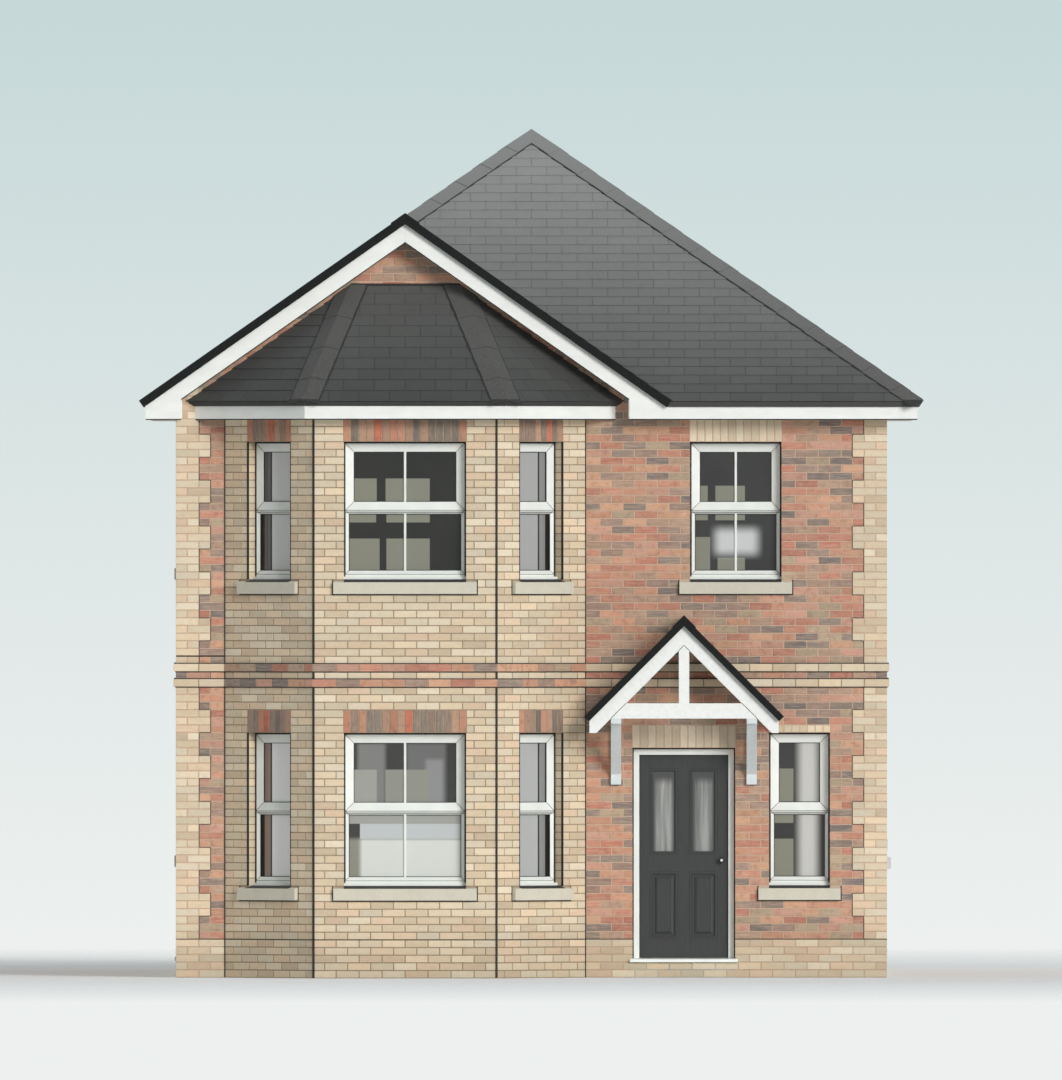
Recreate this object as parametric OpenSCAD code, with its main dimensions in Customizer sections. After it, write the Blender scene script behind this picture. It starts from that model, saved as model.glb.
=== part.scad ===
// Detached two-storey brick house: a hipped tile roof with a front gable over a
// splayed two-storey bay, and an open gabled canopy over the front door.
// Millimetres. The origin is the middle of the main footprint on the lowest ground.
// +X is to the right seen from the street and +Y runs into the house.

/* [Main walls] */
// Front wall left of the bay, from the corner to the splay
left_pier = 477; // [420:0.5:700]
// Front wall between the door and the window beside it
middle_pier = 329; // [250:0.5:450]
// Front wall right of that window, up to the corner
right_pier = 554.5; // [450:0.5:700]
// Outer depth of the main house, 39 bricks less a joint
house_depth = 8765; // [8315:225:9215]
// Thickness of every outer wall
wall_thickness = 300; // [275:5:325]
// Height of one brick course with its joint
course_height = 75; // [70:1:80]
// How far the string courses stand out from the wall
string_projection = 22; // [15:1:30]
// Clearance of floors, sills, frames and boards in their seats
fitting_gap = 0.3; // [0.1:0.1:0.8]

/* [Floors] */
// Thickness of the ground floor slab, its top is the floor
slab_thickness = 150; // [125:5:175]
// Clear height of the ground floor room
ground_storey = 2400; // [2325:25:2550]
// Thickness of the first floor
first_floor_thickness = 300; // [250:10:325]
// Clear height of the first floor room
first_storey = 2550; // [2500:25:2700]
// Thickness of the ceiling under the loft
ceiling_thickness = 75; // [50:5:90]

/* [Bay] */
// Width of the front face of the bay, 8 bricks less a joint
bay_front_width = 1789; // [1789:25:1889]
// How far the bay stands out, also the run of its 45 degree splays
bay_depth = 873.5; // [820:0.5:920]
// Slope of the bay roof in degrees
bay_pitch = 45; // [42:1:46]
// From the bay wall to the face of its fascia
bay_fascia_out = 210; // [190:5:215]
// Height of the bay fascia
bay_fascia_height = 133; // [125:1:138]

/* [Main roof] */
// Slope of the main roof and the gable roof in degrees
roof_pitch = 35; // [33:1:38]
// Thickness of the tile covering, square to the slope
covering = 58; // [50:1:62]
// From the wall to the face of the fascia, also the verge overhang
eaves_out = 300; // [275:5:325]
// How far the tiles pass the fascia
tile_overhang = 50; // [35:1:55]
// Height of the fascia board on its face
fascia_height = 129; // [120:1:140]
// Thickness of fascias and bargeboards
board_thickness = 22; // [18:1:25]
// Depth of the bargeboard, square to the slope
bargeboard_depth = 145; // [120:1:150]
// Width of the boxed end at the foot of a bargeboard
boxed_end_width = 348.5; // [330:0.5:370]
// Thickness of the soffit boards
soffit_thickness = 10; // [8:1:14]
// How far the soffit boards sit above the lower edge of the boards round them
soffit_set_up = 8; // [4:1:12]

/* [Ridge and hip caps] */
// Thickness of the caps over ridges and hips
cap_thickness = 21; // [15:1:25]
// Reach of the main caps down each slope
cap_leg = 150; // [120:5:170]
// Reach of the gable ridge cap on each side, on plan
gable_cap_reach = 152; // [120:1:170]
// Clearance between the tile layers of two slopes, under their cap
slope_joint = 3; // [2:0.5:5]

/* [Windows] */
// Height of the ground floor sills above the floor
ground_sill_height = 750; // [700:25:800]
// Height of the ground floor windows
ground_window_height = 1500; // [1350:25:1500]
// Height of the lower light of a ground floor window
ground_lower_light = 723; // [600:1:800]
// Height of the first floor sills above the floor
first_sill_height = 1050; // [900:25:1050]
// Height of the first floor windows
first_window_height = 1350; // [1200:25:1350]
// Height of the lower light of a first floor window
first_lower_light = 668; // [550:1:700]
// Width of the window in the front of the bay
bay_front_window = 1200; // [1050:25:1225]
// Width of the windows in the splays of the bay
bay_side_window = 600; // [500:25:650]
// Width of the window right of the door
right_window = 600; // [500:25:650]
// Width of the window over the canopy
upper_window = 900; // [800:25:1000]
// Middle of that window, from the right corner of the house
upper_window_from_corner = 1479.5; // [1300:0.5:1600]
// Width of the rear windows
rear_window = 1200; // [900:25:1400]
// Middle of each rear window, from the nearer corner
rear_window_from_corner = 1800; // [1500:25:1900]
// From the wall face to the face of the frame
reveal = 105; // [90:1:120]
// Depth of the window frames
frame_depth = 70; // [60:1:80]
// Sight width of the fixed frame round the upper sash
frame_edge = 15; // [12:1:25]
// Width of the bevelled sash of the upper light
sash_width = 82; // [60:1:95]
// How deep the bevel of the sash goes
sash_bevel = 20; // [10:1:24]
// Sight width of the sides of the lower light
light_side = 49; // [40:1:60]
// Sight width of the bottom rail of the lower light
light_bottom = 58; // [45:1:70]
// Width of the bevel round the lower light, as deep as the bevel of the sash
light_bevel = 31; // [20:1:33]
// Sight width of the rail under the upper sash
meeting_band = 23; // [15:1:30]
// Height of the projecting sub-cill under a frame
subcill_height = 30; // [25:1:35]
// How far the sub-cill stands out from the frame
subcill_out = 35; // [20:1:45]
// Thickness of the sealed glass units
glass_thickness = 24; // [20:1:28]
// How deep the glass sits behind the face of the frame
glass_set_back = 30; // [26:1:34]
// How far the glass runs in behind the sight line
glass_cover = 12; // [8:1:14]

/* [Stone sills] */
// Height of a stone sill
sill_height = 140; // [120:5:145]
// Height of its front face, below the weathered top
sill_nose = 113; // [100:1:115]
// How far a sill stands out from the wall
sill_projection = 50; // [35:1:60]
// How far a sill runs into the wall past the opening
sill_horn = 102.5; // [80:0.5:110]
// Width and depth of the drip groove under the nose
drip_groove = 12; // [8:1:15]

/* [Front door] */
// Width of the door opening
door_width = 1010; // [960:5:1030]
// Height of the door opening
door_height = 2100; // [2050:5:2150]
// Sight width of the door frame
door_frame_sight = 68; // [60:1:75]
// Thickness of the rebate lip in front of the leaf
door_lip = 26; // [22:1:30]
// How far the lip covers the edge of the leaf
door_lap = 12; // [10:1:15]
// Thickness of the leaf
leaf_thickness = 44; // [40:1:48]
// Clearance between the leaf and what it closes on
leaf_clearance = 6; // [5:0.5:7]
// Gap for the seal between the lip and the face of the leaf
seal_gap = 5; // [5:0.5:6]
// Clearance at the lock edge, which swings out on an arc
lock_clearance = 8; // [7:0.5:9]
// Height of the threshold above the floor
threshold_height = 38; // [30:1:42]
// Fall of the threshold from the frame to the wall face
threshold_fall = 6; // [3:0.5:8]
// Fall of the threshold from the wall face to its front edge
nose_fall = 4; // [2:0.5:6]
// How far the threshold stands out from the wall
threshold_out = 45; // [30:1:60]
// How far the threshold nose runs past the opening on each side
threshold_horn = 23.5; // [15:0.5:30]
// Half width of the stile between the two pairs of panels
middle_stile_half = 60; // [50:1:65]
// Width of each panel
panel_width = 268; // [240:1:275]
// Height of the lower panels
lower_panel_height = 654; // [600:1:670]
// Height of the glazed upper panels
upper_panel_height = 834; // [780:1:850]
// From the bottom of the leaf to the lower panels
bottom_rail = 188; // [170:1:200]
// From the lower panels to the upper ones
lock_rail = 176; // [160:1:190]
// Width of the moulding round each panel
moulding_width = 22; // [16:1:26]
// How far the mouldings stand out from the leaf
moulding_proud = 6; // [4:1:9]
// How deep the lower panels are sunk
panel_sink = 10; // [6:1:12]
// Thickness of the glass in the door
door_glass_thickness = 20; // [16:1:24]
// From the edge of the panels to the middle of the knob
knob_from_panels = 44; // [38:1:50]
// How far the knob stands out from the leaf
knob_out = 62; // [50:1:65]
// Thickness of the round plate behind the knob
knob_plate = 5; // [3:0.5:7]
// Knob height above the bottom of the leaf
knob_height = 954; // [900:1:1000]
// Radius of the knob
knob_radius = 30; // [25:1:33]
// Radius of the spindle that joins the two knobs
spindle_radius = 7; // [5:0.5:8]

/* [Hinges] */
// Radius of the hinge pins
hinge_pin_radius = 4; // [3.5:0.1:4.5]
// Radial clearance between a pin and its knuckle
hinge_clearance = 0.4; // [0.3:0.05:0.5]
// Outer radius of the knuckles
knuckle_radius = 7; // [6.5:0.1:7.5]
// From the inner face of the leaf to the hinge axis
hinge_axis_out = 8; // [7.8:0.1:9]
// Length of one knuckle
knuckle_length = 33; // [28:1:40]
// Clearance between knuckles along the pin
knuckle_gap = 1; // [0.5:0.1:1.5]
// Thickness of the hinge plates
hinge_plate = 2.5; // [2:0.1:2.7]
// Clearance between a hinge plate and the knuckles of the other plate
plate_relief = 4; // [3:0.5:5]
// Width of the hinge plates from the axis
hinge_plate_width = 34; // [25:1:40]
// Height of the lowest hinge above the bottom of the leaf
hinge_low = 200; // [150:5:250]
// Distance from one hinge to the next
hinge_spacing = 780; // [700:5:800]

/* [Canopy] */
// Half width of the canopy over its tile edges
canopy_half = 962; // [950:1:990]
// Clearance between the tile edge of the canopy and the end of the bay
canopy_to_bay = 1.5; // [1:0.5:10]
// From the door head up to the tile edge of the canopy
canopy_rise = 300; // [280:5:330]
// How far the canopy stands out from the wall
canopy_out = 700; // [600:10:800]
// Slope of the canopy roof in degrees
canopy_pitch = 45; // [43:1:47]
// Thickness of its covering, square to the slope
canopy_covering = 45; // [38:1:50]
// From the tile verge back to the face of the truss
canopy_verge = 50; // [30:5:70]
// Depth of the rafters, square to the slope
rafter_depth = 135; // [120:1:140]
// Thickness of the rafters, the tie beam and the king post
truss_thickness = 44; // [38:1:60]
// From the tile edge in to the plumb cut of the rafters
rafter_inset = 36; // [30:1:45]
// Height of the plumb cut of the rafters
rafter_foot = 124; // [110:1:130]
// Height of the tie beam
tie_beam_height = 149; // [130:1:155]
// Width of the king post
king_post_width = 102; // [90:1:120]
// Distance of each bracket from the middle of the door
bracket_offset = 665; // [655:1:668]
// Width of the brackets
bracket_width = 100; // [90:1:105]
// Clearance between a bracket and the foot of the tie beam
bracket_clearance = 2.5; // [0.5:0.5:4]
// Height of the brackets
bracket_height = 649; // [550:1:700]
// Thickness of the post, arm and brace of a bracket
bracket_bar = 50; // [44:1:55]
// Height of the post foot below the brace
bracket_foot = 99; // [80:1:110]
// Reach of the canopy ridge cap on each side, on plan
canopy_cap_reach = 108; // [90:1:120]

/* [Side vents] */
// How far the vent hoods stand out from the wall
vent_out = 55; // [40:1:65]
// Height of a vent hood
vent_height = 131; // [110:1:150]
// Width of a vent hood along the wall
vent_width = 160; // [120:5:200]
// How far the small air brick cover stands out
air_vent_out = 25; // [15:1:30]
// Height of the small air brick cover
air_vent_height = 48; // [40:1:65]
// Height of the middle of the ground floor vents above the ground
low_vent_level = 1114; // [1000:1:1200]
// Height of the middle of the right rear vent above the ground
rear_vent_level = 1263; // [1250:1:1400]
// Height of the middle of the first floor vent above its floor
upper_vent_height = 1111; // [1000:1:1200]
// Height of the middle of the air brick cover above the ground
air_vent_level = 169; // [150:1:250]
// Front right vent, back from the front wall
right_vent_from_front = 2180; // [1500:10:3000]
// Rear right vent, back from the front wall
rear_vent_from_front = 6280; // [5500:10:7000]
// Both left vents, back from the front wall
left_vent_from_front = 5180; // [4500:10:6000]
// Air brick cover, back from the front wall
air_vent_from_front = 1780; // [1500:10:3000]
// Fall of the top of a vent hood, from the wall to its front
hood_fall = 20; // [10:1:30]

/* [Hidden] */
$fn = 48;
// A length past every piece, for half spaces and cutters
reach = 20000;
// How far a cutter passes the face it cuts
cut = 5;
// How far the bars of one piece run into each other
lap = 1;
bay_half = bay_front_width / 2;
bay_end = bay_half + bay_depth;
half_width = (left_pier + 2 * bay_end + canopy_to_bay + canopy_half + door_width / 2
    + middle_pier + right_window + right_pier) / 2;
front_y = -house_depth / 2;
inner_x = half_width - wall_thickness;
inner_y = -front_y - wall_thickness;
first_ceiling_underside = slab_thickness + ground_storey;
first_floor_level = first_ceiling_underside + first_floor_thickness;
loft_underside = first_floor_level + first_storey;
eaves_level = loft_underside + ceiling_thickness;
ground_sill_level = slab_thickness + ground_sill_height;
first_sill_level = first_floor_level + first_sill_height;
// Bay plan, from the middle of the bay
bay_x = left_pier + bay_end - half_width;
splay_angle = 45;
mitre = tan(splay_angle / 2);
bay_opening_half = bay_end - wall_thickness * sqrt(2);
bay_tile_out = bay_fascia_out + tile_overhang;
bay_tile_level = eaves_level + bay_fascia_height
    + covering / cos(bay_pitch) - tile_overhang * tan(bay_pitch);
// Main roof, from the middle of the house
tile_out = eaves_out + tile_overhang;
tile_x = half_width + tile_out;
tile_y = -front_y + tile_out;
tile_level = eaves_level + fascia_height
    + covering / cos(roof_pitch) - tile_overhang * tan(roof_pitch);
ridge_y = tile_y - tile_x;
gable_half = bay_x + tile_x;
valley_x = bay_x + gable_half;
gable_back_y = -tile_y + gable_half;
// Share of a length on the slope that shows on plan, across a hip turned from the fall
function plan_share(pitch, turn) = 1 / sqrt(1 + pow(tan(pitch) * cos(turn), 2));
cap_reach_ridge = cap_leg * cos(roof_pitch);
cap_reach_hip = cap_leg * plan_share(roof_pitch, 45);
cap_reach_bay = cap_leg * plan_share(bay_pitch, 90 - splay_angle / 2);
// Door and canopy, from the middle of the door
door_x = bay_x + bay_end + canopy_to_bay + canopy_half;
door_left = door_x - door_width / 2;
door_right = door_x + door_width / 2;
door_head = slab_thickness + door_height;
canopy_tile_level = door_head + canopy_rise;
canopy_drop = canopy_covering / cos(canopy_pitch);
rafter_drop = rafter_depth / cos(canopy_pitch);
canopy_peak = canopy_tile_level + canopy_half * tan(canopy_pitch);
rafter_top = canopy_peak - canopy_drop;
rafter_half = canopy_half - rafter_inset;
rafter_foot_level = rafter_top - rafter_half * tan(canopy_pitch) - rafter_foot;
inner_apex = rafter_top - rafter_drop;
tie_beam_level = inner_apex
    - (bracket_offset + bracket_width / 2 + bracket_clearance) * tan(canopy_pitch);
truss_y = -canopy_out + canopy_verge;
// A brace fills this much of the post and of the arm of its bracket
brace_on_post = 1.5 * bracket_bar;
brace_on_arm = 2 * bracket_bar;
// Door leaf in its frame
frame_y = front_y + reveal;
leaf_y = frame_y + door_lip + seal_gap;
leaf_inner_y = leaf_y + leaf_thickness;
leaf_left = door_left + door_frame_sight - door_lap;
leaf_right = door_right - door_frame_sight + door_lap - (lock_clearance - leaf_clearance);
leaf_bottom = slab_thickness + threshold_height + leaf_clearance;
leaf_top = door_head - door_frame_sight + door_lap;
leaf_mid = (leaf_left + leaf_right) / 2;
hinge_x = leaf_left - leaf_clearance / 2;
hinge_y = leaf_inner_y + hinge_axis_out;
hinge_height = 3 * knuckle_length + 2 * knuckle_gap;
panel_mid = middle_stile_half + panel_width / 2;
knob_x = panel_mid + panel_width / 2 + knob_from_panels;
knob_plate_radius = 0.95 * knob_radius;
knob_neck_radius = 0.4 * knob_radius;
knob_ball_from_front = 0.7 * knob_radius;
lower_panel_level = leaf_bottom + bottom_rail;
upper_panel_level = lower_panel_level + lower_panel_height + lock_rail;

// Places for pieces: x runs along the wall, y into it, from its outer face
module on_front(x) translate([x, front_y, 0]) children();
module on_rear(x) translate([x, -front_y, 0]) rotate(180) children();
module on_bay_front() translate([bay_x, front_y - bay_depth, 0]) children();
module on_bay_side(side)
    translate([bay_x + side * (bay_half + bay_depth / 2), front_y - bay_depth / 2, 0])
        rotate(side * splay_angle) children();

// A profile drawn as [y, z], run along x about its middle
module along_x(length) rotate([90, 0, 90]) translate([0, 0, -length / 2])
    linear_extrude(height = length) children();
// A profile drawn as [x, z], run along y from one place to another
module along_y(from_y, to_y) translate([0, to_y, 0]) rotate([90, 0, 0])
    linear_extrude(height = to_y - from_y) children();
module block(x0, x1, y0, y1, z0, z1) translate([x0, y0, z0]) cube([x1 - x0, y1 - y0, z1 - z0]);

// Slopes: the eaves line lies on the local x axis and the slope rises along +y
module layer(pitch, level, low, high) translate([0, 0, level]) rotate([pitch, 0, 0])
    translate([-reach, 0, low]) cube([2 * reach, reach, high - low]);
module under_slope(pitch, level, drop) translate([0, 0, level])
    rotate([pitch, 0, 0]) translate([-reach, -reach, -2 * reach - drop])
        cube([2 * reach, 3 * reach, 2 * reach]);
module beneath(pitch, level, drop) under_slope(pitch, level - fitting_gap, drop);
module from_left() translate([-tile_x, 0, 0]) rotate(-90) children();
module from_right() translate([tile_x, 0, 0]) rotate(90) children();
module from_front() translate([0, -tile_y, 0]) children();
module from_rear() translate([0, tile_y, 0]) rotate(180) children();
module from_valley() translate([valley_x, 0, 0]) rotate(90) children();
module plan(points, low = eaves_level, high = reach)
    translate([0, 0, low]) linear_extrude(height = high - low) polygon(points);

// Room under the tile covering of the main roof and of the gable roof
module under_main_roof() intersection() {
    from_left() beneath(roof_pitch, tile_level, covering);
    from_right() beneath(roof_pitch, tile_level, covering);
    from_front() beneath(roof_pitch, tile_level, covering);
    from_rear() beneath(roof_pitch, tile_level, covering);
}
module under_gable_roof() intersection() {
    from_left() beneath(roof_pitch, tile_level, covering);
    from_valley() beneath(roof_pitch, tile_level, covering);
    block(-reach, reach, -reach, gable_back_y, -reach, reach);
}

// Bay plan at a distance out from its wall face, from the left end to the right end
function bay_line(out) = [
    [-bay_end - out * sqrt(2), 0],
    [-bay_half - out * mitre, -bay_depth - out],
    [bay_half + out * mitre, -bay_depth - out],
    [bay_end + out * sqrt(2), 0]];
function reversed(points) = [for (i = [len(points) - 1 : -1 : 0]) points[i]];
module bay_band(inner, outer, low, high) on_front(bay_x)
    plan(concat(bay_line(outer), reversed(bay_line(inner))), low, high);

// Floors fill the main room, the passage through the front wall and the bay
module floor_plate(low, high) {
    x = inner_x - fitting_gap;
    y = inner_y - fitting_gap;
    bay = bay_line(-wall_thickness - fitting_gap);
    half = bay[3][0];
    plan([
        [-x, -y], [bay_x - half, -y], [bay_x - half, front_y],
        [bay_x + bay[1][0], front_y + bay[1][1]], [bay_x + bay[2][0], front_y + bay[2][1]],
        [bay_x + half, front_y], [bay_x + half, -y], [x, -y], [x, y], [-x, y]], low, high);
}
module ground_floor_slab() color("darkgray") {
    floor_plate(0, slab_thickness);
    block(door_left + fitting_gap, door_right - fitting_gap, front_y, -inner_y + cut,
        0, slab_thickness);
}
module first_floor() color("burlywood")
    floor_plate(first_ceiling_underside, first_floor_level);
module loft_ceiling() color("whitesmoke") floor_plate(loft_underside, eaves_level);

// Windows, from the middle of the opening on the wall face and the sill level
module sill_outline(gap) polygon([
    [reveal + frame_depth + gap, gap], [reveal - subcill_out, gap],
    [-sill_projection, sill_nose - sill_height + gap], [-sill_projection, -sill_height - gap],
    [reveal + frame_depth + gap, -sill_height - gap]]);
module stone_sill(width) along_x(width + 2 * sill_horn) difference() {
    sill_outline(0);
    translate([-sill_projection + 2 * drip_groove, -sill_height])
        square([drip_groove, 2 * drip_groove], center = true);
}
module window_hole(width, height) {
    block(-width / 2, width / 2, -cut, wall_thickness + cut, 0, height);
    block(-width / 2, width / 2, -cut, reveal + frame_depth, -sill_height, cut);
    along_x(width + 2 * (sill_horn + fitting_gap)) sill_outline(fitting_gap);
}
// A light: the sight opening through the frame and the rebate that takes the glass
module glass_unit(x, z0, z1, deep) {
    block(-x - glass_cover, x + glass_cover, reveal + glass_set_back,
        reveal + glass_set_back + deep, z0 - glass_cover, z1 + glass_cover);
}
function upper_half(width) = width / 2 - frame_edge - sash_width;
function lower_half(width) = width / 2 - light_side;
module sight_opening(x, z0, z1) block(-x, x, reveal - cut, reveal + frame_depth + cut, z0, z1);
// The four faces of a bevelled light, narrowing towards the glass
module bevel_recess(x, z0, z1, bevel) {
    wide = bevel * (1 + cut / sash_bevel);
    intersection() {
        translate([0, 0, z0 - wide]) linear_extrude(height = z1 - z0 + 2 * wide) polygon([
            [-x - wide, reveal - cut], [x + wide, reveal - cut],
            [x, reveal + sash_bevel], [-x, reveal + sash_bevel]]);
        along_x(2 * (x + wide)) polygon([
            [reveal - cut, z0 - wide], [reveal - cut, z1 + wide],
            [reveal + sash_bevel, z1], [reveal + sash_bevel, z0]]);
    }
}
module window_frame(opening, full_height, lower) {
    width = opening - 2 * fitting_gap;
    height = full_height - fitting_gap;
    upper_low = lower + meeting_band / 2 + sash_width;
    upper_high = height - frame_edge - sash_width;
    lower_low = subcill_height + light_bottom;
    lower_high = lower - meeting_band;
    difference() {
        block(-width / 2, width / 2, reveal, reveal + frame_depth, 0, height);
        bevel_recess(upper_half(width), upper_low, upper_high, sash_width);
        sight_opening(upper_half(width), upper_low, upper_high);
        glass_unit(upper_half(width), upper_low, upper_high, frame_depth);
        bevel_recess(lower_half(width), lower_low, lower_high, light_bevel);
        sight_opening(lower_half(width), lower_low, lower_high);
        glass_unit(lower_half(width), lower_low, lower_high, frame_depth);
    }
    block(-width / 2, width / 2, reveal - subcill_out, reveal + cut, 0, subcill_height);
}
module window_glass(width, height, lower) {
    sides = glass_cover - 2 * fitting_gap;
    for (light = [
            [upper_half(width), lower + meeting_band / 2 + sash_width,
                height - frame_edge - sash_width],
            [lower_half(width), subcill_height + light_bottom, lower - meeting_band]])
        block(-light[0] - sides, light[0] + sides, reveal + glass_set_back,
            reveal + glass_set_back + glass_thickness, light[1] - sides, light[2] + sides);
}
module at_ground() translate([0, 0, ground_sill_level]) children();
module at_first() translate([0, 0, first_sill_level]) children();

// Main walls
module left_wall() color("peru") intersection() {
    block(-half_width, -inner_x, -inner_y, inner_y, 0, reach);
    from_left() beneath(roof_pitch, tile_level, covering);
}
module right_wall() color("peru") intersection() {
    block(inner_x, half_width, -inner_y, inner_y, 0, reach);
    under_main_roof();
}
module rear_wall() color("peru") difference() {
    intersection() {
        block(-half_width, half_width, inner_y, -front_y, 0, reach);
        under_main_roof();
    }
    for (x = [-1, 1]) on_rear(x * (half_width - rear_window_from_corner)) {
        at_ground() window_hole(rear_window, ground_window_height);
        at_first() window_hole(rear_window, first_window_height);
    }
}
module front_wall_left() color("peru")
    block(-half_width, bay_x - bay_opening_half, front_y, -inner_y, 0, eaves_level);
module front_wall_middle() color("peru")
    block(bay_x + bay_opening_half, door_left, front_y, -inner_y, 0, first_floor_level);
module front_wall_over_door() color("peru")
    block(door_left, door_right, front_y, -inner_y, door_head, first_floor_level);
module front_wall_right() color("peru") difference() {
    block(door_right, half_width, front_y, -inner_y, 0, first_floor_level);
    on_front(half_width - right_pier - right_window / 2)
        at_ground() window_hole(right_window, ground_window_height);
}
module front_wall_upper() color("peru") difference() {
    block(bay_x + bay_opening_half, half_width, front_y, -inner_y,
        first_floor_level, eaves_level);
    on_front(half_width - upper_window_from_corner)
        at_first() window_hole(upper_window, first_window_height);
}
module gable_wall() color("peru") intersection() {
    block(-half_width, half_width, front_y, -inner_y, eaves_level, reach);
    union() {
        under_main_roof();
        under_gable_roof();
    }
}

// Bay walls, mitred at the splay corners and cut by the underside of the bay roof
module from_bay_front() translate([0, -bay_depth - bay_tile_out, 0]) children();
module from_bay_right() translate([bay_end + bay_tile_out * sqrt(2), 0, 0]) rotate(splay_angle)
    children();
module bay_wall_front() color("wheat") difference() {
    on_front(bay_x) intersection() {
        plan([bay_line(0)[1], bay_line(0)[2], bay_line(-wall_thickness)[2],
            bay_line(-wall_thickness)[1]], 0, reach);
        from_bay_front() beneath(bay_pitch, bay_tile_level, covering);
    }
    on_bay_front() {
        at_ground() window_hole(bay_front_window, ground_window_height);
        at_first() window_hole(bay_front_window, first_window_height);
    }
}
module bay_wall_side(side) difference() {
    on_front(bay_x) mirror([side < 0 ? 1 : 0, 0, 0]) intersection() {
        plan([bay_line(0)[2], bay_line(0)[3], bay_line(-wall_thickness)[3],
            bay_line(-wall_thickness)[2]], 0, reach);
        from_bay_right() beneath(bay_pitch, bay_tile_level, covering);
    }
    on_bay_side(side) {
        at_ground() window_hole(bay_side_window, ground_window_height);
        at_first() window_hole(bay_side_window, first_window_height);
    }
}
module bay_wall_left() color("wheat") bay_wall_side(-1);
module bay_wall_right() color("wheat") bay_wall_side(1);

// The canopy outline against the wall, from the rafters up to the tiles
module canopy_outline() {
    half = canopy_half + fitting_gap;
    low = canopy_tile_level - canopy_drop - fitting_gap;
    inner = inner_apex - fitting_gap / cos(canopy_pitch);
    inner_foot = (inner - rafter_foot_level) / tan(canopy_pitch);
    polygon([
        [-half, low], [-rafter_half - fitting_gap, rafter_foot_level],
        [-inner_foot, rafter_foot_level], [0, inner], [inner_foot, rafter_foot_level],
        [rafter_half + fitting_gap, rafter_foot_level], [half, low], [half, canopy_tile_level],
        [0, canopy_peak + (cap_thickness + fitting_gap) / cos(canopy_pitch)],
        [-half, canopy_tile_level]]);
}

// Two courses that stand out round the house and the bay, one course apart
module string_ring(low, high) difference() {
    union() {
        difference() {
            block(-half_width - string_projection, half_width + string_projection,
                front_y - string_projection, -front_y + string_projection, low, high);
            block(-half_width, half_width, front_y, -front_y, low - cut, high + cut);
            block(bay_x - bay_end, bay_x + bay_end, front_y - reach, front_y + cut,
                low - cut, high + cut);
        }
        bay_band(0, string_projection, low, high);
    }
    on_front(door_x) along_y(-reach, 0) canopy_outline();
}
module string_courses() color("tan") for (step = [0, 2])
    string_ring(first_floor_level + step * course_height,
        first_floor_level + (step + 1) * course_height);

// Window frames, glass and stone sills
module bay_windows(height, lower) {
    on_bay_front() window_frame(bay_front_window, height, lower);
    for (side = [-1, 1]) on_bay_side(side) window_frame(bay_side_window, height, lower);
}
module bay_glass(height, lower) {
    on_bay_front() window_glass(bay_front_window, height, lower);
    for (side = [-1, 1]) on_bay_side(side) window_glass(bay_side_window, height, lower);
}
module bay_windows_ground() color("white")
    at_ground() bay_windows(ground_window_height, ground_lower_light);
module bay_windows_first() color("white")
    at_first() bay_windows(first_window_height, first_lower_light);
module bay_glass_ground() color("lightblue")
    at_ground() bay_glass(ground_window_height, ground_lower_light);
module bay_glass_first() color("lightblue")
    at_first() bay_glass(first_window_height, first_lower_light);
module front_windows() color("white") {
    on_front(half_width - right_pier - right_window / 2) at_ground()
        window_frame(right_window, ground_window_height, ground_lower_light);
    on_front(half_width - upper_window_from_corner) at_first()
        window_frame(upper_window, first_window_height, first_lower_light);
}
module front_glass() color("lightblue") {
    on_front(half_width - right_pier - right_window / 2) at_ground()
        window_glass(right_window, ground_window_height, ground_lower_light);
    on_front(half_width - upper_window_from_corner) at_first()
        window_glass(upper_window, first_window_height, first_lower_light);
}
module on_rear_pair() for (x = [-1, 1])
    on_rear(x * (half_width - rear_window_from_corner)) children();
module rear_windows() color("white") on_rear_pair() {
    at_ground() window_frame(rear_window, ground_window_height, ground_lower_light);
    at_first() window_frame(rear_window, first_window_height, first_lower_light);
}
module rear_glass() color("lightblue") on_rear_pair() {
    at_ground() window_glass(rear_window, ground_window_height, ground_lower_light);
    at_first() window_glass(rear_window, first_window_height, first_lower_light);
}
module front_sills() color("beige") {
    for (level = [ground_sill_level, first_sill_level]) translate([0, 0, level]) {
        on_bay_front() stone_sill(bay_front_window);
        for (side = [-1, 1]) on_bay_side(side) stone_sill(bay_side_window);
    }
    on_front(half_width - right_pier - right_window / 2) at_ground() stone_sill(right_window);
    on_front(half_width - upper_window_from_corner) at_first() stone_sill(upper_window);
}
module rear_sills() color("beige") on_rear_pair() {
    at_ground() stone_sill(rear_window);
    at_first() stone_sill(rear_window);
}

// Front door: frame with a rebate, threshold, leaf, glass, knobs and butt hinges
module door_frame() color("white") difference() {
    block(door_left, door_right, frame_y, leaf_inner_y,
        slab_thickness + threshold_height, door_head);
    block(door_left + door_frame_sight, door_right - door_frame_sight, frame_y - cut,
        leaf_inner_y + cut, 0, door_head - door_frame_sight);
    block(leaf_left - leaf_clearance, door_right - door_frame_sight + door_lap
        + leaf_clearance, frame_y + door_lip, leaf_inner_y + cut, 0,
        leaf_top + leaf_clearance);
}
module door_threshold() color("white") translate([door_x, 0, slab_thickness]) {
    along_x(door_width) polygon([
        [leaf_inner_y, 0], [leaf_inner_y, threshold_height],
        [frame_y, threshold_height], [front_y, threshold_height - threshold_fall],
        [front_y, 0]]);
    along_x(door_width + 2 * threshold_horn) polygon([
        [front_y, 0], [front_y, threshold_height - threshold_fall],
        [front_y - threshold_out, threshold_height - threshold_fall - nose_fall],
        [front_y - threshold_out, 0]]);
}
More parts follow.
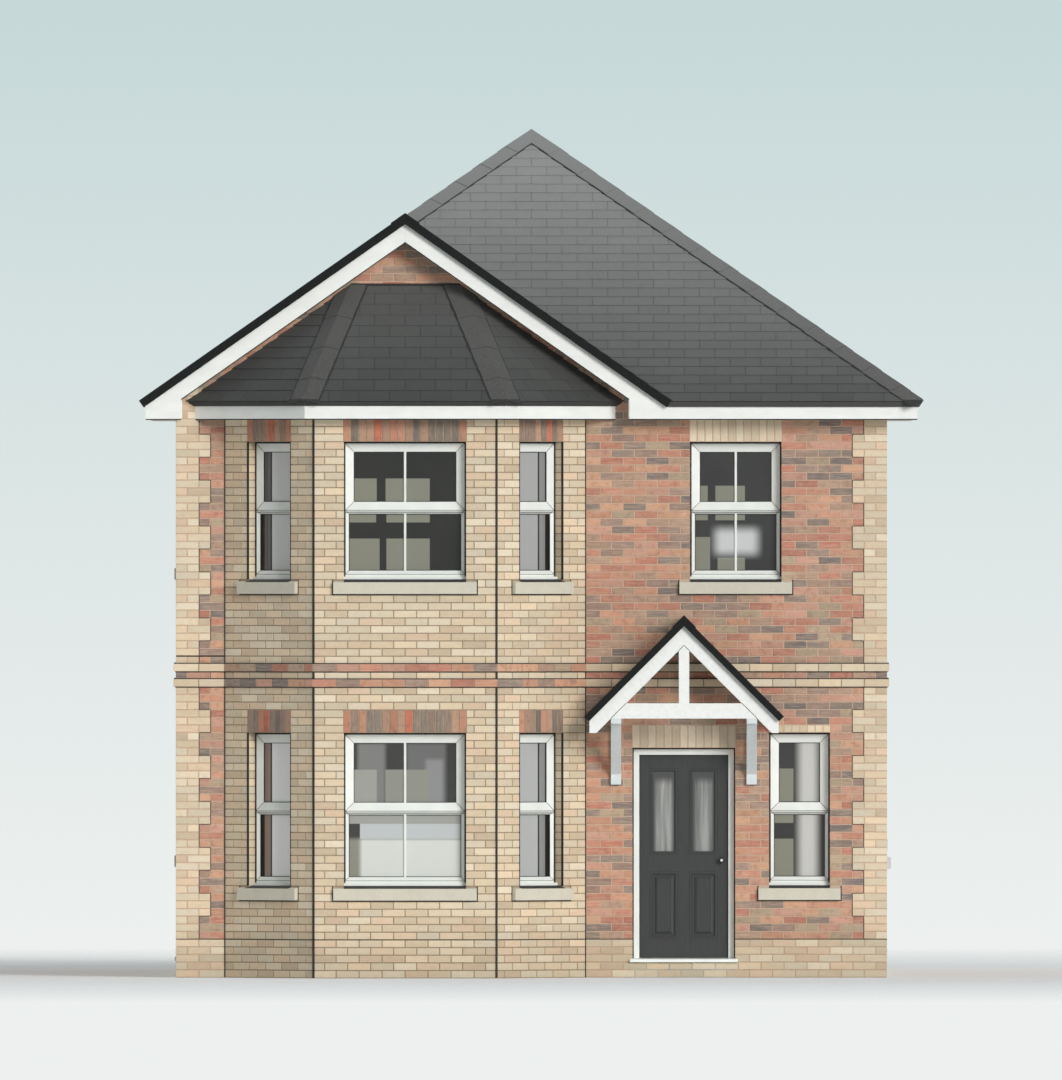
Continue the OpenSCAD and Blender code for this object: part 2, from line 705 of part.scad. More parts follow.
// A block whose four sides slope in towards its face, for the raised panels
module raised_field(x, z, slope, deep) intersection() {
    translate([0, 0, -z / 2]) linear_extrude(height = z) polygon([
        [-x / 2, 0], [x / 2, 0], [x / 2 - slope, -deep], [-x / 2 + slope, -deep]]);
    along_x(x) polygon([
        [0, -z / 2], [0, z / 2], [-deep, z / 2 - slope], [-deep, -z / 2 + slope]]);
}
module panel_ring(x, z) difference() {
    translate([-x / 2, -moulding_proud, -z / 2]) cube([x, moulding_proud + cut, z]);
    translate([-x / 2 + moulding_width, -moulding_proud - cut, -z / 2 + moulding_width])
        cube([x - 2 * moulding_width, moulding_proud + 3 * cut, z - 2 * moulding_width]);
}
// Both faces of the leaf, each with y = 0 on the face and the leaf behind it
module both_faces() {
    translate([leaf_mid, leaf_y, 0]) children();
    translate([leaf_mid, leaf_inner_y, 0]) rotate(180) children();
}
module door_leaf() color("dimgray") {
    lower_z = lower_panel_level + lower_panel_height / 2;
    upper_z = upper_panel_level + upper_panel_height / 2;
    glass_x = panel_width - 2 * moulding_width;
    glass_z = upper_panel_height - 2 * moulding_width;
    difference() {
        union() {
            difference() {
                block(leaf_left, leaf_right, leaf_y, leaf_inner_y, leaf_bottom, leaf_top);
                both_faces() for (x = [-panel_mid, panel_mid])
                    translate([x - panel_width / 2 + moulding_width, -cut,
                        lower_panel_level + moulding_width])
                        cube([glass_x, panel_sink + cut,
                            lower_panel_height - 2 * moulding_width]);
            }
            both_faces() for (x = [-panel_mid, panel_mid]) {
                translate([x, 0, lower_z]) panel_ring(panel_width, lower_panel_height);
                translate([x, 0, upper_z]) panel_ring(panel_width, upper_panel_height);
                translate([x, panel_sink, lower_z]) raised_field(
                    glass_x - 2 * moulding_width,
                    lower_panel_height - 4 * moulding_width, moulding_width, panel_sink);
            }
        }
        for (x = [-panel_mid, panel_mid]) {
            translate([leaf_mid + x - glass_x / 2, leaf_y - reach / 2, upper_z - glass_z / 2])
                cube([glass_x, reach, glass_z]);
            door_pane(x);
        }
        translate([leaf_mid + knob_x, leaf_y - cut,
            leaf_bottom + knob_height]) rotate([-90, 0, 0])
            cylinder(r = spindle_radius + hinge_clearance, h = leaf_thickness + 2 * cut);
    }
}
// One pane, let into the leaf behind the mouldings
module door_pane(x) translate([leaf_mid + x - panel_width / 2 + moulding_width / 2,
    leaf_y + (leaf_thickness - door_glass_thickness) / 2,
    upper_panel_level + moulding_width / 2])
    cube([panel_width - moulding_width, door_glass_thickness,
        upper_panel_height - moulding_width]);
module door_glass() color("lightsteelblue") for (x = [-panel_mid, panel_mid]) door_pane(x);
// A round plate, a neck and a ball with a flat front
module knob() rotate([90, 0, 0]) rotate_extrude() intersection() {
    union() {
        square([knob_plate_radius, knob_plate]);
        square([knob_neck_radius, knob_out / 2]);
        translate([0, knob_out - knob_ball_from_front]) circle(r = knob_radius);
    }
    union() {
        square([knob_plate_radius, knob_plate]);
        translate([0, knob_plate]) square([reach, knob_out - knob_plate]);
    }
}
module door_knob() color("silver") {
    translate([knob_x, 0, leaf_bottom + knob_height]) {
        translate([leaf_mid, leaf_y, 0]) knob();
        translate([leaf_mid, leaf_inner_y, 0]) rotate(180) knob();
        translate([leaf_mid, leaf_y - lap, 0]) rotate([-90, 0, 0])
            cylinder(r = spindle_radius, h = leaf_thickness + 2 * lap);
    }
}
// Hinge heights, from the bottom of the hinge
module at_hinges() for (i = [0 : 2])
    translate([hinge_x, hinge_y, leaf_bottom + hinge_low + i * hinge_spacing]) children();
module hinge_plate(side, height) block(
    side < 0 ? -hinge_plate_width : 0, side < 0 ? 0 : hinge_plate_width,
    -hinge_axis_out, -hinge_axis_out + hinge_plate, 0, height);
module door_hinge_pins() color("silver") at_hinges() {
    cylinder(r = hinge_pin_radius, h = hinge_height);
    for (z = [0, 2 * (knuckle_length + knuckle_gap)]) translate([0, 0, z]) {
        cylinder(r = knuckle_radius, h = knuckle_length);
        hinge_plate(-1, knuckle_length);
    }
    difference() {
        hinge_plate(-1, hinge_height);
        translate([0, 0, -cut]) cylinder(r = knuckle_radius + plate_relief, h = hinge_height + 2 * cut);
    }
}
module door_hinge_leaves() color("silver") at_hinges() difference() {
    union() {
        translate([0, 0, knuckle_length + knuckle_gap]) {
            cylinder(r = knuckle_radius, h = knuckle_length);
            hinge_plate(1, knuckle_length);
        }
        difference() {
            hinge_plate(1, hinge_height);
            translate([0, 0, -cut]) cylinder(r = knuckle_radius + plate_relief, h = hinge_height + 2 * cut);
        }
    }
    translate([0, 0, -cut])
        cylinder(r = hinge_pin_radius + hinge_clearance, h = hinge_height + 2 * cut);
}

// Canopy: two pairs of rafters, tie beam and king post in front, gallows brackets
module rafter_half_outline() polygon([
    [0, rafter_top], [rafter_half, rafter_top - rafter_half * tan(canopy_pitch)],
    [rafter_half, rafter_foot_level],
    [(inner_apex - rafter_foot_level) / tan(canopy_pitch), rafter_foot_level],
    [0, inner_apex]]);
module canopy_rafters() color("white") on_front(door_x)
    for (y = [truss_y, -truss_thickness]) along_y(y, y + truss_thickness) {
        rafter_half_outline();
        mirror([1, 0]) rafter_half_outline();
    }
function under_rafters(z) = (inner_apex - z) / tan(canopy_pitch);
module canopy_tie_beam() color("white") on_front(door_x)
    along_y(truss_y, truss_y + truss_thickness) polygon([
        [-under_rafters(tie_beam_level), tie_beam_level],
        [under_rafters(tie_beam_level), tie_beam_level],
        [under_rafters(tie_beam_level + tie_beam_height), tie_beam_level + tie_beam_height],
        [-under_rafters(tie_beam_level + tie_beam_height), tie_beam_level + tie_beam_height]]);
module canopy_king_post() color("white") on_front(door_x)
    along_y(truss_y, truss_y + truss_thickness) polygon([
        [-king_post_width / 2, tie_beam_level + tie_beam_height],
        [king_post_width / 2, tie_beam_level + tie_beam_height],
        [king_post_width / 2, inner_apex - king_post_width / 2 * tan(canopy_pitch)],
        [0, inner_apex],
        [-king_post_width / 2, inner_apex - king_post_width / 2 * tan(canopy_pitch)]]);
// Post on the wall, arm out to the truss and a brace between them
module bracket_side() {
    foot = tie_beam_level - bracket_height;
    translate([-bracket_bar, foot]) square([bracket_bar, bracket_height]);
    translate([truss_y, tie_beam_level - bracket_bar]) square([-truss_y, bracket_bar]);
    polygon([
        [-bracket_bar + lap, foot + bracket_foot],
        [truss_y + bracket_bar, tie_beam_level - bracket_bar + lap],
        [truss_y + bracket_bar + brace_on_arm, tie_beam_level - bracket_bar + lap],
        [-bracket_bar + lap, foot + bracket_foot + brace_on_post]]);
}
module canopy_brackets() color("white") on_front(door_x) for (side = [-1, 1])
    translate([side * bracket_offset, 0, 0]) along_x(bracket_width) bracket_side();
module canopy_slope(low, high, half, inner) for (side = [0, 1]) mirror([side, 0, 0])
    intersection() {
        translate([-canopy_half, 0, 0]) rotate(-90)
            layer(canopy_pitch, canopy_tile_level, low, high);
        block(-half, -inner, -canopy_out, 0, 0, reach);
    }
module canopy_roof() color("darkslategray") on_front(door_x)
    canopy_slope(-canopy_covering, 0, canopy_half + lap, slope_joint);
module canopy_ridge_cap() color("dimgray") on_front(door_x)
    canopy_slope(0, cap_thickness, canopy_cap_reach, 0);

// Tile covering of each slope, with a joint under the caps at hips, ridges and valley
module tile_slope(points) intersection() {
    children();
    plan(points);
}
module main_roof() color("darkslategray") {
    g = slope_joint;
    tile_slope([[-tile_x - cut, gable_back_y], [bay_x - g, gable_back_y], [-g, -ridge_y],
        [-g, ridge_y], [-tile_x, tile_y - g], [-tile_x - cut, tile_y - g]])
        from_left() layer(roof_pitch, tile_level, -covering, 0);
    tile_slope([[valley_x + g, -tile_y], [tile_x - g, -tile_y], [0, -ridge_y - g],
        [bay_x + g, gable_back_y]])
        from_front() layer(roof_pitch, tile_level, -covering, 0);
    tile_slope([[tile_x, -tile_y + g], [tile_x, tile_y - g], [g, ridge_y], [g, -ridge_y]])
        from_right() layer(roof_pitch, tile_level, -covering, 0);
    tile_slope([[tile_x - g, tile_y], [-tile_x + g, tile_y], [0, ridge_y + g]])
        from_rear() layer(roof_pitch, tile_level, -covering, 0);
}
module gable_roof() color("darkslategray") {
    g = slope_joint;
    tile_slope([[-tile_x - cut, -tile_y], [bay_x - g, -tile_y], [bay_x - g, gable_back_y],
        [-tile_x - cut, gable_back_y]])
        from_left() layer(roof_pitch, tile_level, -covering, 0);
    tile_slope([[bay_x + g, -tile_y], [valley_x - g, -tile_y],
        [bay_x + g, gable_back_y - 2 * g]])
        from_valley() layer(roof_pitch, tile_level, -covering, 0);
}
bay_hip_low = bay_line(bay_tile_out)[2];
bay_hip_high = [bay_hip_low[0] + bay_hip_low[1] * mitre, 0];
module bay_roof() color("darkslategray") on_front(bay_x) {
    g = slope_joint;
    tile_slope([[-bay_hip_low[0] + g, bay_hip_low[1]], [bay_hip_low[0] - g, bay_hip_low[1]],
        [bay_hip_high[0] - g, 0], [-bay_hip_high[0] + g, 0]])
        from_bay_front() layer(bay_pitch, bay_tile_level, -covering, 0);
    for (side = [0, 1]) mirror([side, 0, 0])
        tile_slope([[bay_hip_low[0] + g, bay_hip_low[1]], [reach, bay_hip_low[1]],
            [reach, 0], [bay_hip_high[0] + g, 0]])
            from_bay_right() layer(bay_pitch, bay_tile_level, -covering, 0);
}

// Caps: a thin layer over the tiles of both slopes, along a line on plan and just past its end
module strip(a, b, half) {
    length = norm(b - a);
    translate([a[0], a[1], 0]) rotate(atan2(b[1] - a[1], b[0] - a[0]))
        translate([0, -half, eaves_level]) cube([length + cap_thickness, 2 * half, reach]);
}
module main_cap_strips() {
    front = [0, -ridge_y];
    rear = [0, ridge_y];
    strip(front, rear, cap_reach_ridge);
    strip([bay_x, gable_back_y], front, cap_reach_hip);
    strip([tile_x, -tile_y], front, cap_reach_hip);
    strip([tile_x, tile_y], rear, cap_reach_hip);
    strip([-tile_x, tile_y], rear, cap_reach_hip);
}
// The main roof as one body, with its slopes raised by the thickness of the caps or not
module main_roof_body(raised) intersection() {
    from_left() under_slope(roof_pitch, tile_level, -raised);
    from_right() under_slope(roof_pitch, tile_level, -raised);
    from_front() under_slope(roof_pitch, tile_level, -raised);
    from_rear() under_slope(roof_pitch, tile_level, -raised);
}
module main_ridge_caps() color("dimgray") intersection() {
    difference() {
        main_roof_body(cap_thickness);
        main_roof_body(0);
    }
    block(-tile_x, tile_x, -tile_y, tile_y, eaves_level, reach);
    main_cap_strips();
}
module gable_ridge_cap() color("dimgray") {
    intersection() {
        from_left() layer(roof_pitch, tile_level, 0, cap_thickness);
        block(bay_x - gable_cap_reach, bay_x, -tile_y, gable_back_y, 0, reach);
    }
    intersection() {
        from_valley() layer(roof_pitch, tile_level, 0, cap_thickness);
        plan([[bay_x, -tile_y], [bay_x + gable_cap_reach, -tile_y],
            [bay_x + gable_cap_reach, gable_back_y - gable_cap_reach], [bay_x, gable_back_y]]);
    }
}
module bay_hip_caps() color("dimgray") on_front(bay_x)
    for (side = [0, 1]) mirror([side, 0, 0]) {
        intersection() {
            from_bay_front() layer(bay_pitch, bay_tile_level, 0, cap_thickness);
            plan([[0, bay_hip_low[1]], bay_hip_low, bay_hip_high, [0, 0]]);
            strip(bay_hip_low, bay_hip_high, cap_reach_bay);
        }
        intersection() {
            from_bay_right() layer(bay_pitch, bay_tile_level, 0, cap_thickness);
            plan([bay_hip_low, [reach, bay_hip_low[1]], [reach, 0], bay_hip_high]);
            strip(bay_hip_low, bay_hip_high, cap_reach_bay);
        }
    }

// Boards round the roof
board_face_x = half_width + eaves_out;
board_face_y = -front_y + eaves_out;
gable_foot = bay_x + board_face_x;
cheek = gable_foot - boxed_end_width;
board_drop = bargeboard_depth / cos(roof_pitch);
function gable_underside(x) = tile_level + (gable_half - x) * tan(roof_pitch)
    - covering / cos(roof_pitch) - fitting_gap;
module bargeboards() color("white") translate([bay_x, 0, 0]) for (side = [0, 1])
    mirror([side, 0, 0]) along_y(-board_face_y, -board_face_y + board_thickness) polygon([
        [fitting_gap, gable_underside(fitting_gap)], [gable_foot, gable_underside(gable_foot)],
        [gable_foot, eaves_level], [cheek, eaves_level],
        [cheek, gable_underside(cheek) - board_drop],
        [fitting_gap, gable_underside(fitting_gap) - board_drop]]);
// One board round the right front, right, rear and left, open under the gable
module fascias() color("white") intersection() {
    difference() {
        block(-board_face_x, board_face_x, -board_face_y, board_face_y,
            eaves_level, eaves_level + 3 * fascia_height);
        block(-board_face_x + board_thickness, board_face_x - board_thickness,
            -board_face_y + board_thickness, board_face_y - board_thickness, 0, reach);
        block(-reach, bay_x + gable_foot, -board_face_y - cut,
            -board_face_y + board_thickness, 0, reach);
    }
    union() {
        under_main_roof();
        under_gable_roof();
    }
}
module soffits() color("white") difference() {
    block(-board_face_x + board_thickness, board_face_x - board_thickness,
        -board_face_y + board_thickness, board_face_y - board_thickness,
        eaves_level + soffit_set_up, eaves_level + soffit_set_up + soffit_thickness);
    block(-half_width, half_width, front_y, -front_y, 0, reach);
    block(bay_x - cheek, bay_x + cheek, -reach, front_y + cut, 0, reach);
}
module verge_soffit() color("white") translate([bay_x, 0, 0])
    along_y(-board_face_y + board_thickness, front_y) {
        low = soffit_set_up - board_drop;
        high = low + soffit_thickness / cos(roof_pitch);
        out = cheek - soffit_thickness;
        polygon([
            [-cheek, eaves_level + soffit_set_up], [-cheek, gable_underside(cheek) + high],
            [0, gable_underside(0) + high], [cheek, gable_underside(cheek) + high],
            [cheek, eaves_level + soffit_set_up], [out, eaves_level + soffit_set_up],
            [out, gable_underside(out) + low], [0, gable_underside(0) + low],
            [-out, gable_underside(out) + low], [-out, eaves_level + soffit_set_up]]);
    }
module bay_fascia() color("white") intersection() {
    bay_band(bay_fascia_out - board_thickness, bay_fascia_out, eaves_level,
        eaves_level + 3 * bay_fascia_height);
    on_front(bay_x) intersection() {
        from_bay_front() beneath(bay_pitch, bay_tile_level, covering);
        from_bay_right() beneath(bay_pitch, bay_tile_level, covering);
        mirror([1, 0, 0]) from_bay_right() beneath(bay_pitch, bay_tile_level, covering);
    }
}
module bay_soffit() color("white") bay_band(0, bay_fascia_out - board_thickness,
    eaves_level + soffit_set_up, eaves_level + soffit_set_up + soffit_thickness);

// Vent hoods with a sloping top, and one low air brick cover
module vent(side, from_front, level, out, height)
    translate([side * half_width, front_y + from_front, level]) mirror([side < 0 ? 1 : 0, 0, 0])
        along_y(-vent_width / 2, vent_width / 2) polygon([
            [0, -height / 2], [out, -height / 2], [out, height / 2 - hood_fall * out / vent_out],
            [0, height / 2]]);
module side_vents() color("gainsboro") {
    vent(1, right_vent_from_front, low_vent_level, vent_out, vent_height);
    vent(1, rear_vent_from_front, rear_vent_level, vent_out, vent_height);
    vent(-1, left_vent_from_front, low_vent_level, vent_out, vent_height);
    vent(-1, left_vent_from_front, first_floor_level + upper_vent_height, vent_out, vent_height);
    vent(-1, air_vent_from_front, air_vent_level, air_vent_out, air_vent_height);
}

ground_floor_slab();
first_floor();
loft_ceiling();
left_wall();
right_wall();
rear_wall();
front_wall_left();
front_wall_middle();
front_wall_over_door();
front_wall_right();
front_wall_upper();
gable_wall();
bay_wall_front();
bay_wall_left();
bay_wall_right();
string_courses();
bay_windows_ground();
bay_windows_first();
front_windows();
rear_windows();
bay_glass_ground();
bay_glass_first();
front_glass();
rear_glass();
front_sills();
rear_sills();
door_frame();
door_threshold();
door_hinge_pins();
door_leaf();
door_glass();
door_knob();
door_hinge_leaves();
canopy_rafters();
canopy_tie_beam();
canopy_king_post();
canopy_brackets();
canopy_roof();
canopy_ridge_cap();
main_roof();
gable_roof();
bay_roof();
main_ridge_caps();
gable_ridge_cap();
bay_hip_caps();
bargeboards();
fascias();
soffits();
verge_soffit();
bay_fascia();
bay_soffit();
side_vents();
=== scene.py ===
import math
import random
import bmesh
import bpy
from mathutils import Matrix, Vector


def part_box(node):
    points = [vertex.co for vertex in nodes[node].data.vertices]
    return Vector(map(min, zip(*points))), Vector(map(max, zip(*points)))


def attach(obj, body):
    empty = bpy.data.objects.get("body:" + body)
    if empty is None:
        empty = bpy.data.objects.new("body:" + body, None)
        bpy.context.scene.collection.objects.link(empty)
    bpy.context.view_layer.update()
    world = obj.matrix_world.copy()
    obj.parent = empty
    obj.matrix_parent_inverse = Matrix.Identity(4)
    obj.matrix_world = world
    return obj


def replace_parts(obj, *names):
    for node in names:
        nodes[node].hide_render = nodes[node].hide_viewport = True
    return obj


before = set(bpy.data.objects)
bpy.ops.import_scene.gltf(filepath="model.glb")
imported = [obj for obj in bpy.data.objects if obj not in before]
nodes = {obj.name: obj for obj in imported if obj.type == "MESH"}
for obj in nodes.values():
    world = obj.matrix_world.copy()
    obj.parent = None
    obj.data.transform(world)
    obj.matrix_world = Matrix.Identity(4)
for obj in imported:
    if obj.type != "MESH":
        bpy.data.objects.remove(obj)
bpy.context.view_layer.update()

# The view is the drawing's own: square on to the street front, from so far off that
# nothing seems to narrow with distance. The middle of the picture is a little over
# mid height of the walls.


def show(name, data):
    """A new object in the scene, made of its data."""
    thing = bpy.data.objects.new(name, data)
    bpy.context.scene.collection.objects.link(thing)
    return thing


picture_rows, pixel = 1080, 0.00982
picture_height = picture_rows * pixel
eye_x, eye_level, true_scale_y = -0.0044, 4.288, -3.6
lens, film = 1600.0, 36.0
camera_data = bpy.data.cameras.new("street_view")
camera_data.lens = lens
camera_data.sensor_width = film
camera_data.clip_start = 10.0
camera_data.clip_end = 900.0
camera = show("street_view", camera_data)
camera.location = (eye_x, true_scale_y - picture_height * lens / film, eye_level)
camera.rotation_euler = (math.radians(90), 0, 0)
bpy.context.scene.camera = camera
bpy.context.scene.view_settings.view_transform = "Standard"

# Soft daylight: a broad sun low over the street to the right, an even sky, and a weak
# light from behind on the garden side.


def sunlight(name, energy, degrees, side, shadow=True):
    """A sun of some breadth in degrees, which shines from one side."""
    data = bpy.data.lights.new(name, "SUN")
    data.energy = energy
    data.angle = math.radians(degrees)
    data.use_shadow = shadow
    show(name, data).rotation_euler = Vector(side).to_track_quat("Z", "Y").to_euler()


sunlight("soft_sun", 2.30, 24, (0.26, -0.45, 0.16))
sunlight("garden_fill", 1.0, 40, (-0.35, 0.60, 0.35), shadow=False)
sky = bpy.data.worlds.new("even_sky")
sky.use_nodes = True
sky.node_tree.nodes["Background"].inputs["Color"].default_value = (0.93, 0.97, 1.0, 1)
sky.node_tree.nodes["Background"].inputs["Strength"].default_value = 0.36
bpy.context.scene.world = sky

# A pale floor with a soft edge, and a plain backdrop far round the house that goes
# from near white at the floor to a pale blue grey overhead. Every finish from here on
# is mixed in the same way, from colours as they are read off a screen, 0 to 255.


def paint(red, green, blue):
    def linear(value):
        share = value / 255
        return share / 12.92 if share < 0.04045 else ((share + 0.055) / 1.055) ** 2.4
    return (linear(red), linear(green), linear(blue), 1.0)


class Mix:
    """A material being mixed: its shader, and short ways to add the usual nodes."""

    def __init__(self, name):
        self.material = bpy.data.materials.new(name)
        self.material.use_nodes = True
        self.tree = self.material.node_tree
        self.shader = self.tree.nodes["Principled BSDF"]
        self.place = self.add("ShaderNodeTexCoord").outputs["Object"]

    def add(self, kind, **settings):
        node = self.tree.nodes.new(kind)
        for key, value in settings.items():
            setattr(node, key, value)
        return node

    def join(self, source, target):
        self.tree.links.new(source, target)

    def feed(self, value, socket):
        """A fixed value or what another node gives, into a socket."""
        if isinstance(value, (int, float, tuple)):
            socket.default_value = value
        else:
            self.join(value, socket)

    def scaled(self, scale):
        node = self.add("ShaderNodeMapping")
        node.inputs["Scale"].default_value = scale
        self.join(self.place, node.inputs["Vector"])
        return node.outputs["Vector"]

    def axis(self, name):
        """One coordinate of the piece: X, Y or Z."""
        node = self.add("ShaderNodeSeparateXYZ")
        self.join(self.place, node.inputs[0])
        return node.outputs[name]

    def rise(self, value, low, high, start=0.0, end=1.0, kind="LINEAR"):
        """Goes from start to end while a value goes from low to high."""
        node = self.add("ShaderNodeMapRange", interpolation_type=kind)
        for name, at in (("From Min", low), ("From Max", high), ("To Min", start), ("To Max", end)):
            node.inputs[name].default_value = at
        self.join(value, node.inputs["Value"])
        return node.outputs["Result"]

    def noise(self, scale, detail=3.0, rough=0.55, where=None):
        node = self.add("ShaderNodeTexNoise")
        node.inputs["Scale"].default_value = scale
        node.inputs["Detail"].default_value = detail
        node.inputs["Roughness"].default_value = rough
        self.join(where or self.place, node.inputs["Vector"])
        return node.outputs["Fac"]

    def math(self, kind, a, b):
        node = self.add("ShaderNodeMath", operation=kind)
        self.feed(a, node.inputs[0])
        self.feed(b, node.inputs[1])
        return node.outputs[0]

    def grey(self, level):
        node = self.add("ShaderNodeCombineColor")
        for socket in node.inputs[:3]:
            self.join(level, socket)
        return node.outputs[0]

    def ramp(self, value, stops, steps=False):
        node = self.add("ShaderNodeValToRGB")
        bar = node.color_ramp
        bar.interpolation = "CONSTANT" if steps else "LINEAR"
        while len(bar.elements) < len(stops):
            bar.elements.new(0.5)
        for element, (at, colour) in zip(bar.elements, stops):
            element.position = at
            element.color = colour
        self.join(value, node.inputs["Fac"])
        return node.outputs["Color"]

    def blend(self, share, a, b, kind="MIX"):
        node = self.add("ShaderNodeMix", data_type="RGBA", blend_type=kind)
        for value, at in ((share, 0), (a, 6), (b, 7)):
            self.feed(value, node.inputs[at])
        return node.outputs[2]

    def bump(self, height, strength, distance):
        node = self.add("ShaderNodeBump")
        node.inputs["Strength"].default_value = strength
        node.inputs["Distance"].default_value = distance
        self.join(height, node.inputs["Height"])
        self.join(node.outputs["Normal"], self.shader.inputs["Normal"])

    def finish(self, colour, rough, **sockets):
        self.feed(colour, self.shader.inputs["Base Color"])
        self.feed(rough, self.shader.inputs["Roughness"])
        for name, value in sockets.items():
            self.shader.inputs[name.replace("_", " ")].default_value = value
        return self.material


def settle(name, shape):
    """The mesh of a shape that is finished."""
    mesh = bpy.data.meshes.new(name)
    shape.to_mesh(mesh)
    shape.free()
    return mesh


floor_radius, fade_from, fade_to, dome_radius, haze_top = 44, 9, 30, 46, 10
floor_mesh = bmesh.new()
bmesh.ops.create_circle(floor_mesh, cap_ends=True, segments=64, radius=floor_radius)
mix = Mix("pale_floor")
rim = mix.add("ShaderNodeVectorMath", operation="LENGTH")
mix.join(mix.place, rim.inputs[0])
fade = mix.rise(rim.outputs["Value"], fade_from, fade_to, start=1, end=0)
mix.join(fade, mix.shader.inputs["Alpha"])
floor = show("floor", settle("floor", floor_mesh))
floor.data.materials.append(mix.finish(paint(243, 245, 244), 0.9, Specular_IOR_Level=0.0))
floor.location.z = -0.002

dome_mesh = bmesh.new()
bmesh.ops.create_icosphere(dome_mesh, subdivisions=5, radius=dome_radius)
bmesh.ops.reverse_faces(dome_mesh, faces=dome_mesh.faces)
mix = Mix("backdrop")
shade = mix.ramp(mix.rise(mix.axis("Z"), 0, haze_top), [
    (0, paint(237, 240, 239)), (0.5, paint(219, 229, 228)), (1, paint(198, 216, 216))])
glow = mix.add("ShaderNodeEmission")
mix.join(shade, glow.inputs["Color"])
clear = mix.add("ShaderNodeBsdfTransparent")
side = mix.add("ShaderNodeNewGeometry")
either = mix.add("ShaderNodeMixShader")
mix.join(side.outputs["Backfacing"], either.inputs[0])
mix.join(glow.outputs[0], either.inputs[1])
mix.join(clear.outputs[0], either.inputs[2])
mix.join(either.outputs[0], mix.tree.nodes["Material Output"].inputs["Surface"])
dome = show("backdrop", settle("backdrop", dome_mesh))
dome.data.materials.append(mix.material)
dome.visible_diffuse = dome.visible_shadow = False

# The main walls are cavity walls 300 mm thick. Outside they are one brick leaf in
# stretcher bond, 65 mm courses on 10 mm joints: red stock bricks, with a buff plinth
# of five courses and toothed buff quoins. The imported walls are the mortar, and the
# bricks stand 4 mm out of it. Inside they are plastered.
course, module, joint, proud = 0.075, 0.225, 0.010, 0.004
brick_long, brick_deep, brick_high, arris = module - joint, 0.1065, course - joint, 0.0028
uneven, scrap = 0.0006, 0.03
lintel_high = module
narrow, single, wide = 0.6, 0.9, 1.2
half_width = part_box("right_wall")[1].x
front_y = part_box("front_wall_upper")[0].y
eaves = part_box("front_wall_upper")[1].z
inner_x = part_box("right_wall")[0].x
inner_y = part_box("rear_wall")[0].y
bay_low, bay_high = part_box("bay_wall_front")
bay_x, bay_half = (bay_low.x + bay_high.x) / 2, (bay_high.x - bay_low.x) / 2
bay_depth = front_y - bay_low.y
bay_end = bay_half + bay_depth
ground_sill, first_sill, ground_head, first_head = 0.9, 3.9, 2.4, 5.25
sill_horn, sill_drop = 0.1025, 0.14


def chamfer(shape, edges, wide):
    bmesh.ops.bevel(shape, geom=edges, offset=wide, affect="EDGES", segments=1, profile=0.5, material=-1)


def bar(shape, place, x0, x1, y0, y1, z0, z1, arris=0.0):
    """A straight bar between two corners, in the frame of its wall or slope."""
    corners = bmesh.ops.create_cube(shape, size=1)["verts"]
    bmesh.ops.scale(shape, verts=corners, vec=(x1 - x0, y1 - y0, z1 - z0))
    bmesh.ops.translate(shape, verts=corners, vec=((x0 + x1) / 2, (y0 + y1) / 2, (z0 + z1) / 2))
    bmesh.ops.transform(shape, matrix=place, verts=corners)
    if arris:
        chamfer(shape, list({edge for corner_point in corners for edge in corner_point.link_edges}), arris)


def brick_template():
    """One brick, its face at y = 0 and its middle on the origin otherwise."""
    shape = bmesh.new()
    bar(shape, Matrix(), -brick_long / 2, brick_long / 2, 0, brick_deep, -brick_high / 2, brick_high / 2)
    chamfer(shape, [e for e in shape.edges if all(v.co.y < 0.001 for v in e.verts)], arris)
    return settle("brick_template", shape)


def lay(template, places):
    """Copies of a template mesh, one at each place: (middle, turn, size, tone)."""
    points = bmesh.new()
    turn = points.verts.layers.float_vector.new("turn")
    grow = points.verts.layers.float_vector.new("grow")
    tone = points.verts.layers.float.new("tone")
    for middle, angles, size, shade_of in places:
        point = points.verts.new(middle)
        point[turn] = angles
        point[grow] = size
        point[tone] = shade_of
    holder, pattern = show("points", settle("points", points)), show("pattern", template)
    group = bpy.data.node_groups.new("lay", "GeometryNodeTree")
    group.interface.new_socket("Geometry", in_out="INPUT", socket_type="NodeSocketGeometry")
    group.interface.new_socket("Geometry", in_out="OUTPUT", socket_type="NodeSocketGeometry")
    source, result = group.nodes.new("NodeGroupInput"), group.nodes.new("NodeGroupOutput")
    put = group.nodes.new("GeometryNodeInstanceOnPoints")
    what = group.nodes.new("GeometryNodeObjectInfo")
    what.inputs["Object"].default_value = pattern
    real = group.nodes.new("GeometryNodeRealizeInstances")
    group.links.new(source.outputs[0], put.inputs["Points"])
    group.links.new(what.outputs["Geometry"], put.inputs["Instance"])
    for name, socket in (("turn", "Rotation"), ("grow", "Scale")):
        read = group.nodes.new("GeometryNodeInputNamedAttribute")
        read.data_type = "FLOAT_VECTOR"
        read.inputs["Name"].default_value = name
        group.links.new(read.outputs["Attribute"], put.inputs[socket])
    group.links.new(put.outputs["Instances"], real.inputs["Geometry"])
    group.links.new(real.outputs["Geometry"], result.inputs[0])
    holder.modifiers.new("lay", "NODES").node_group = group
    bpy.context.view_layer.update()
    seen = holder.evaluated_get(bpy.context.evaluated_depsgraph_get())
    laid = bpy.data.meshes.new_from_object(seen)
    for name in ("turn", "grow"):
        laid.attributes.remove(laid.attributes[name])
    for spare in (holder, pattern):
        bpy.data.objects.remove(spare)
    bpy.data.node_groups.remove(group)
    return laid


draw = random.Random(11)


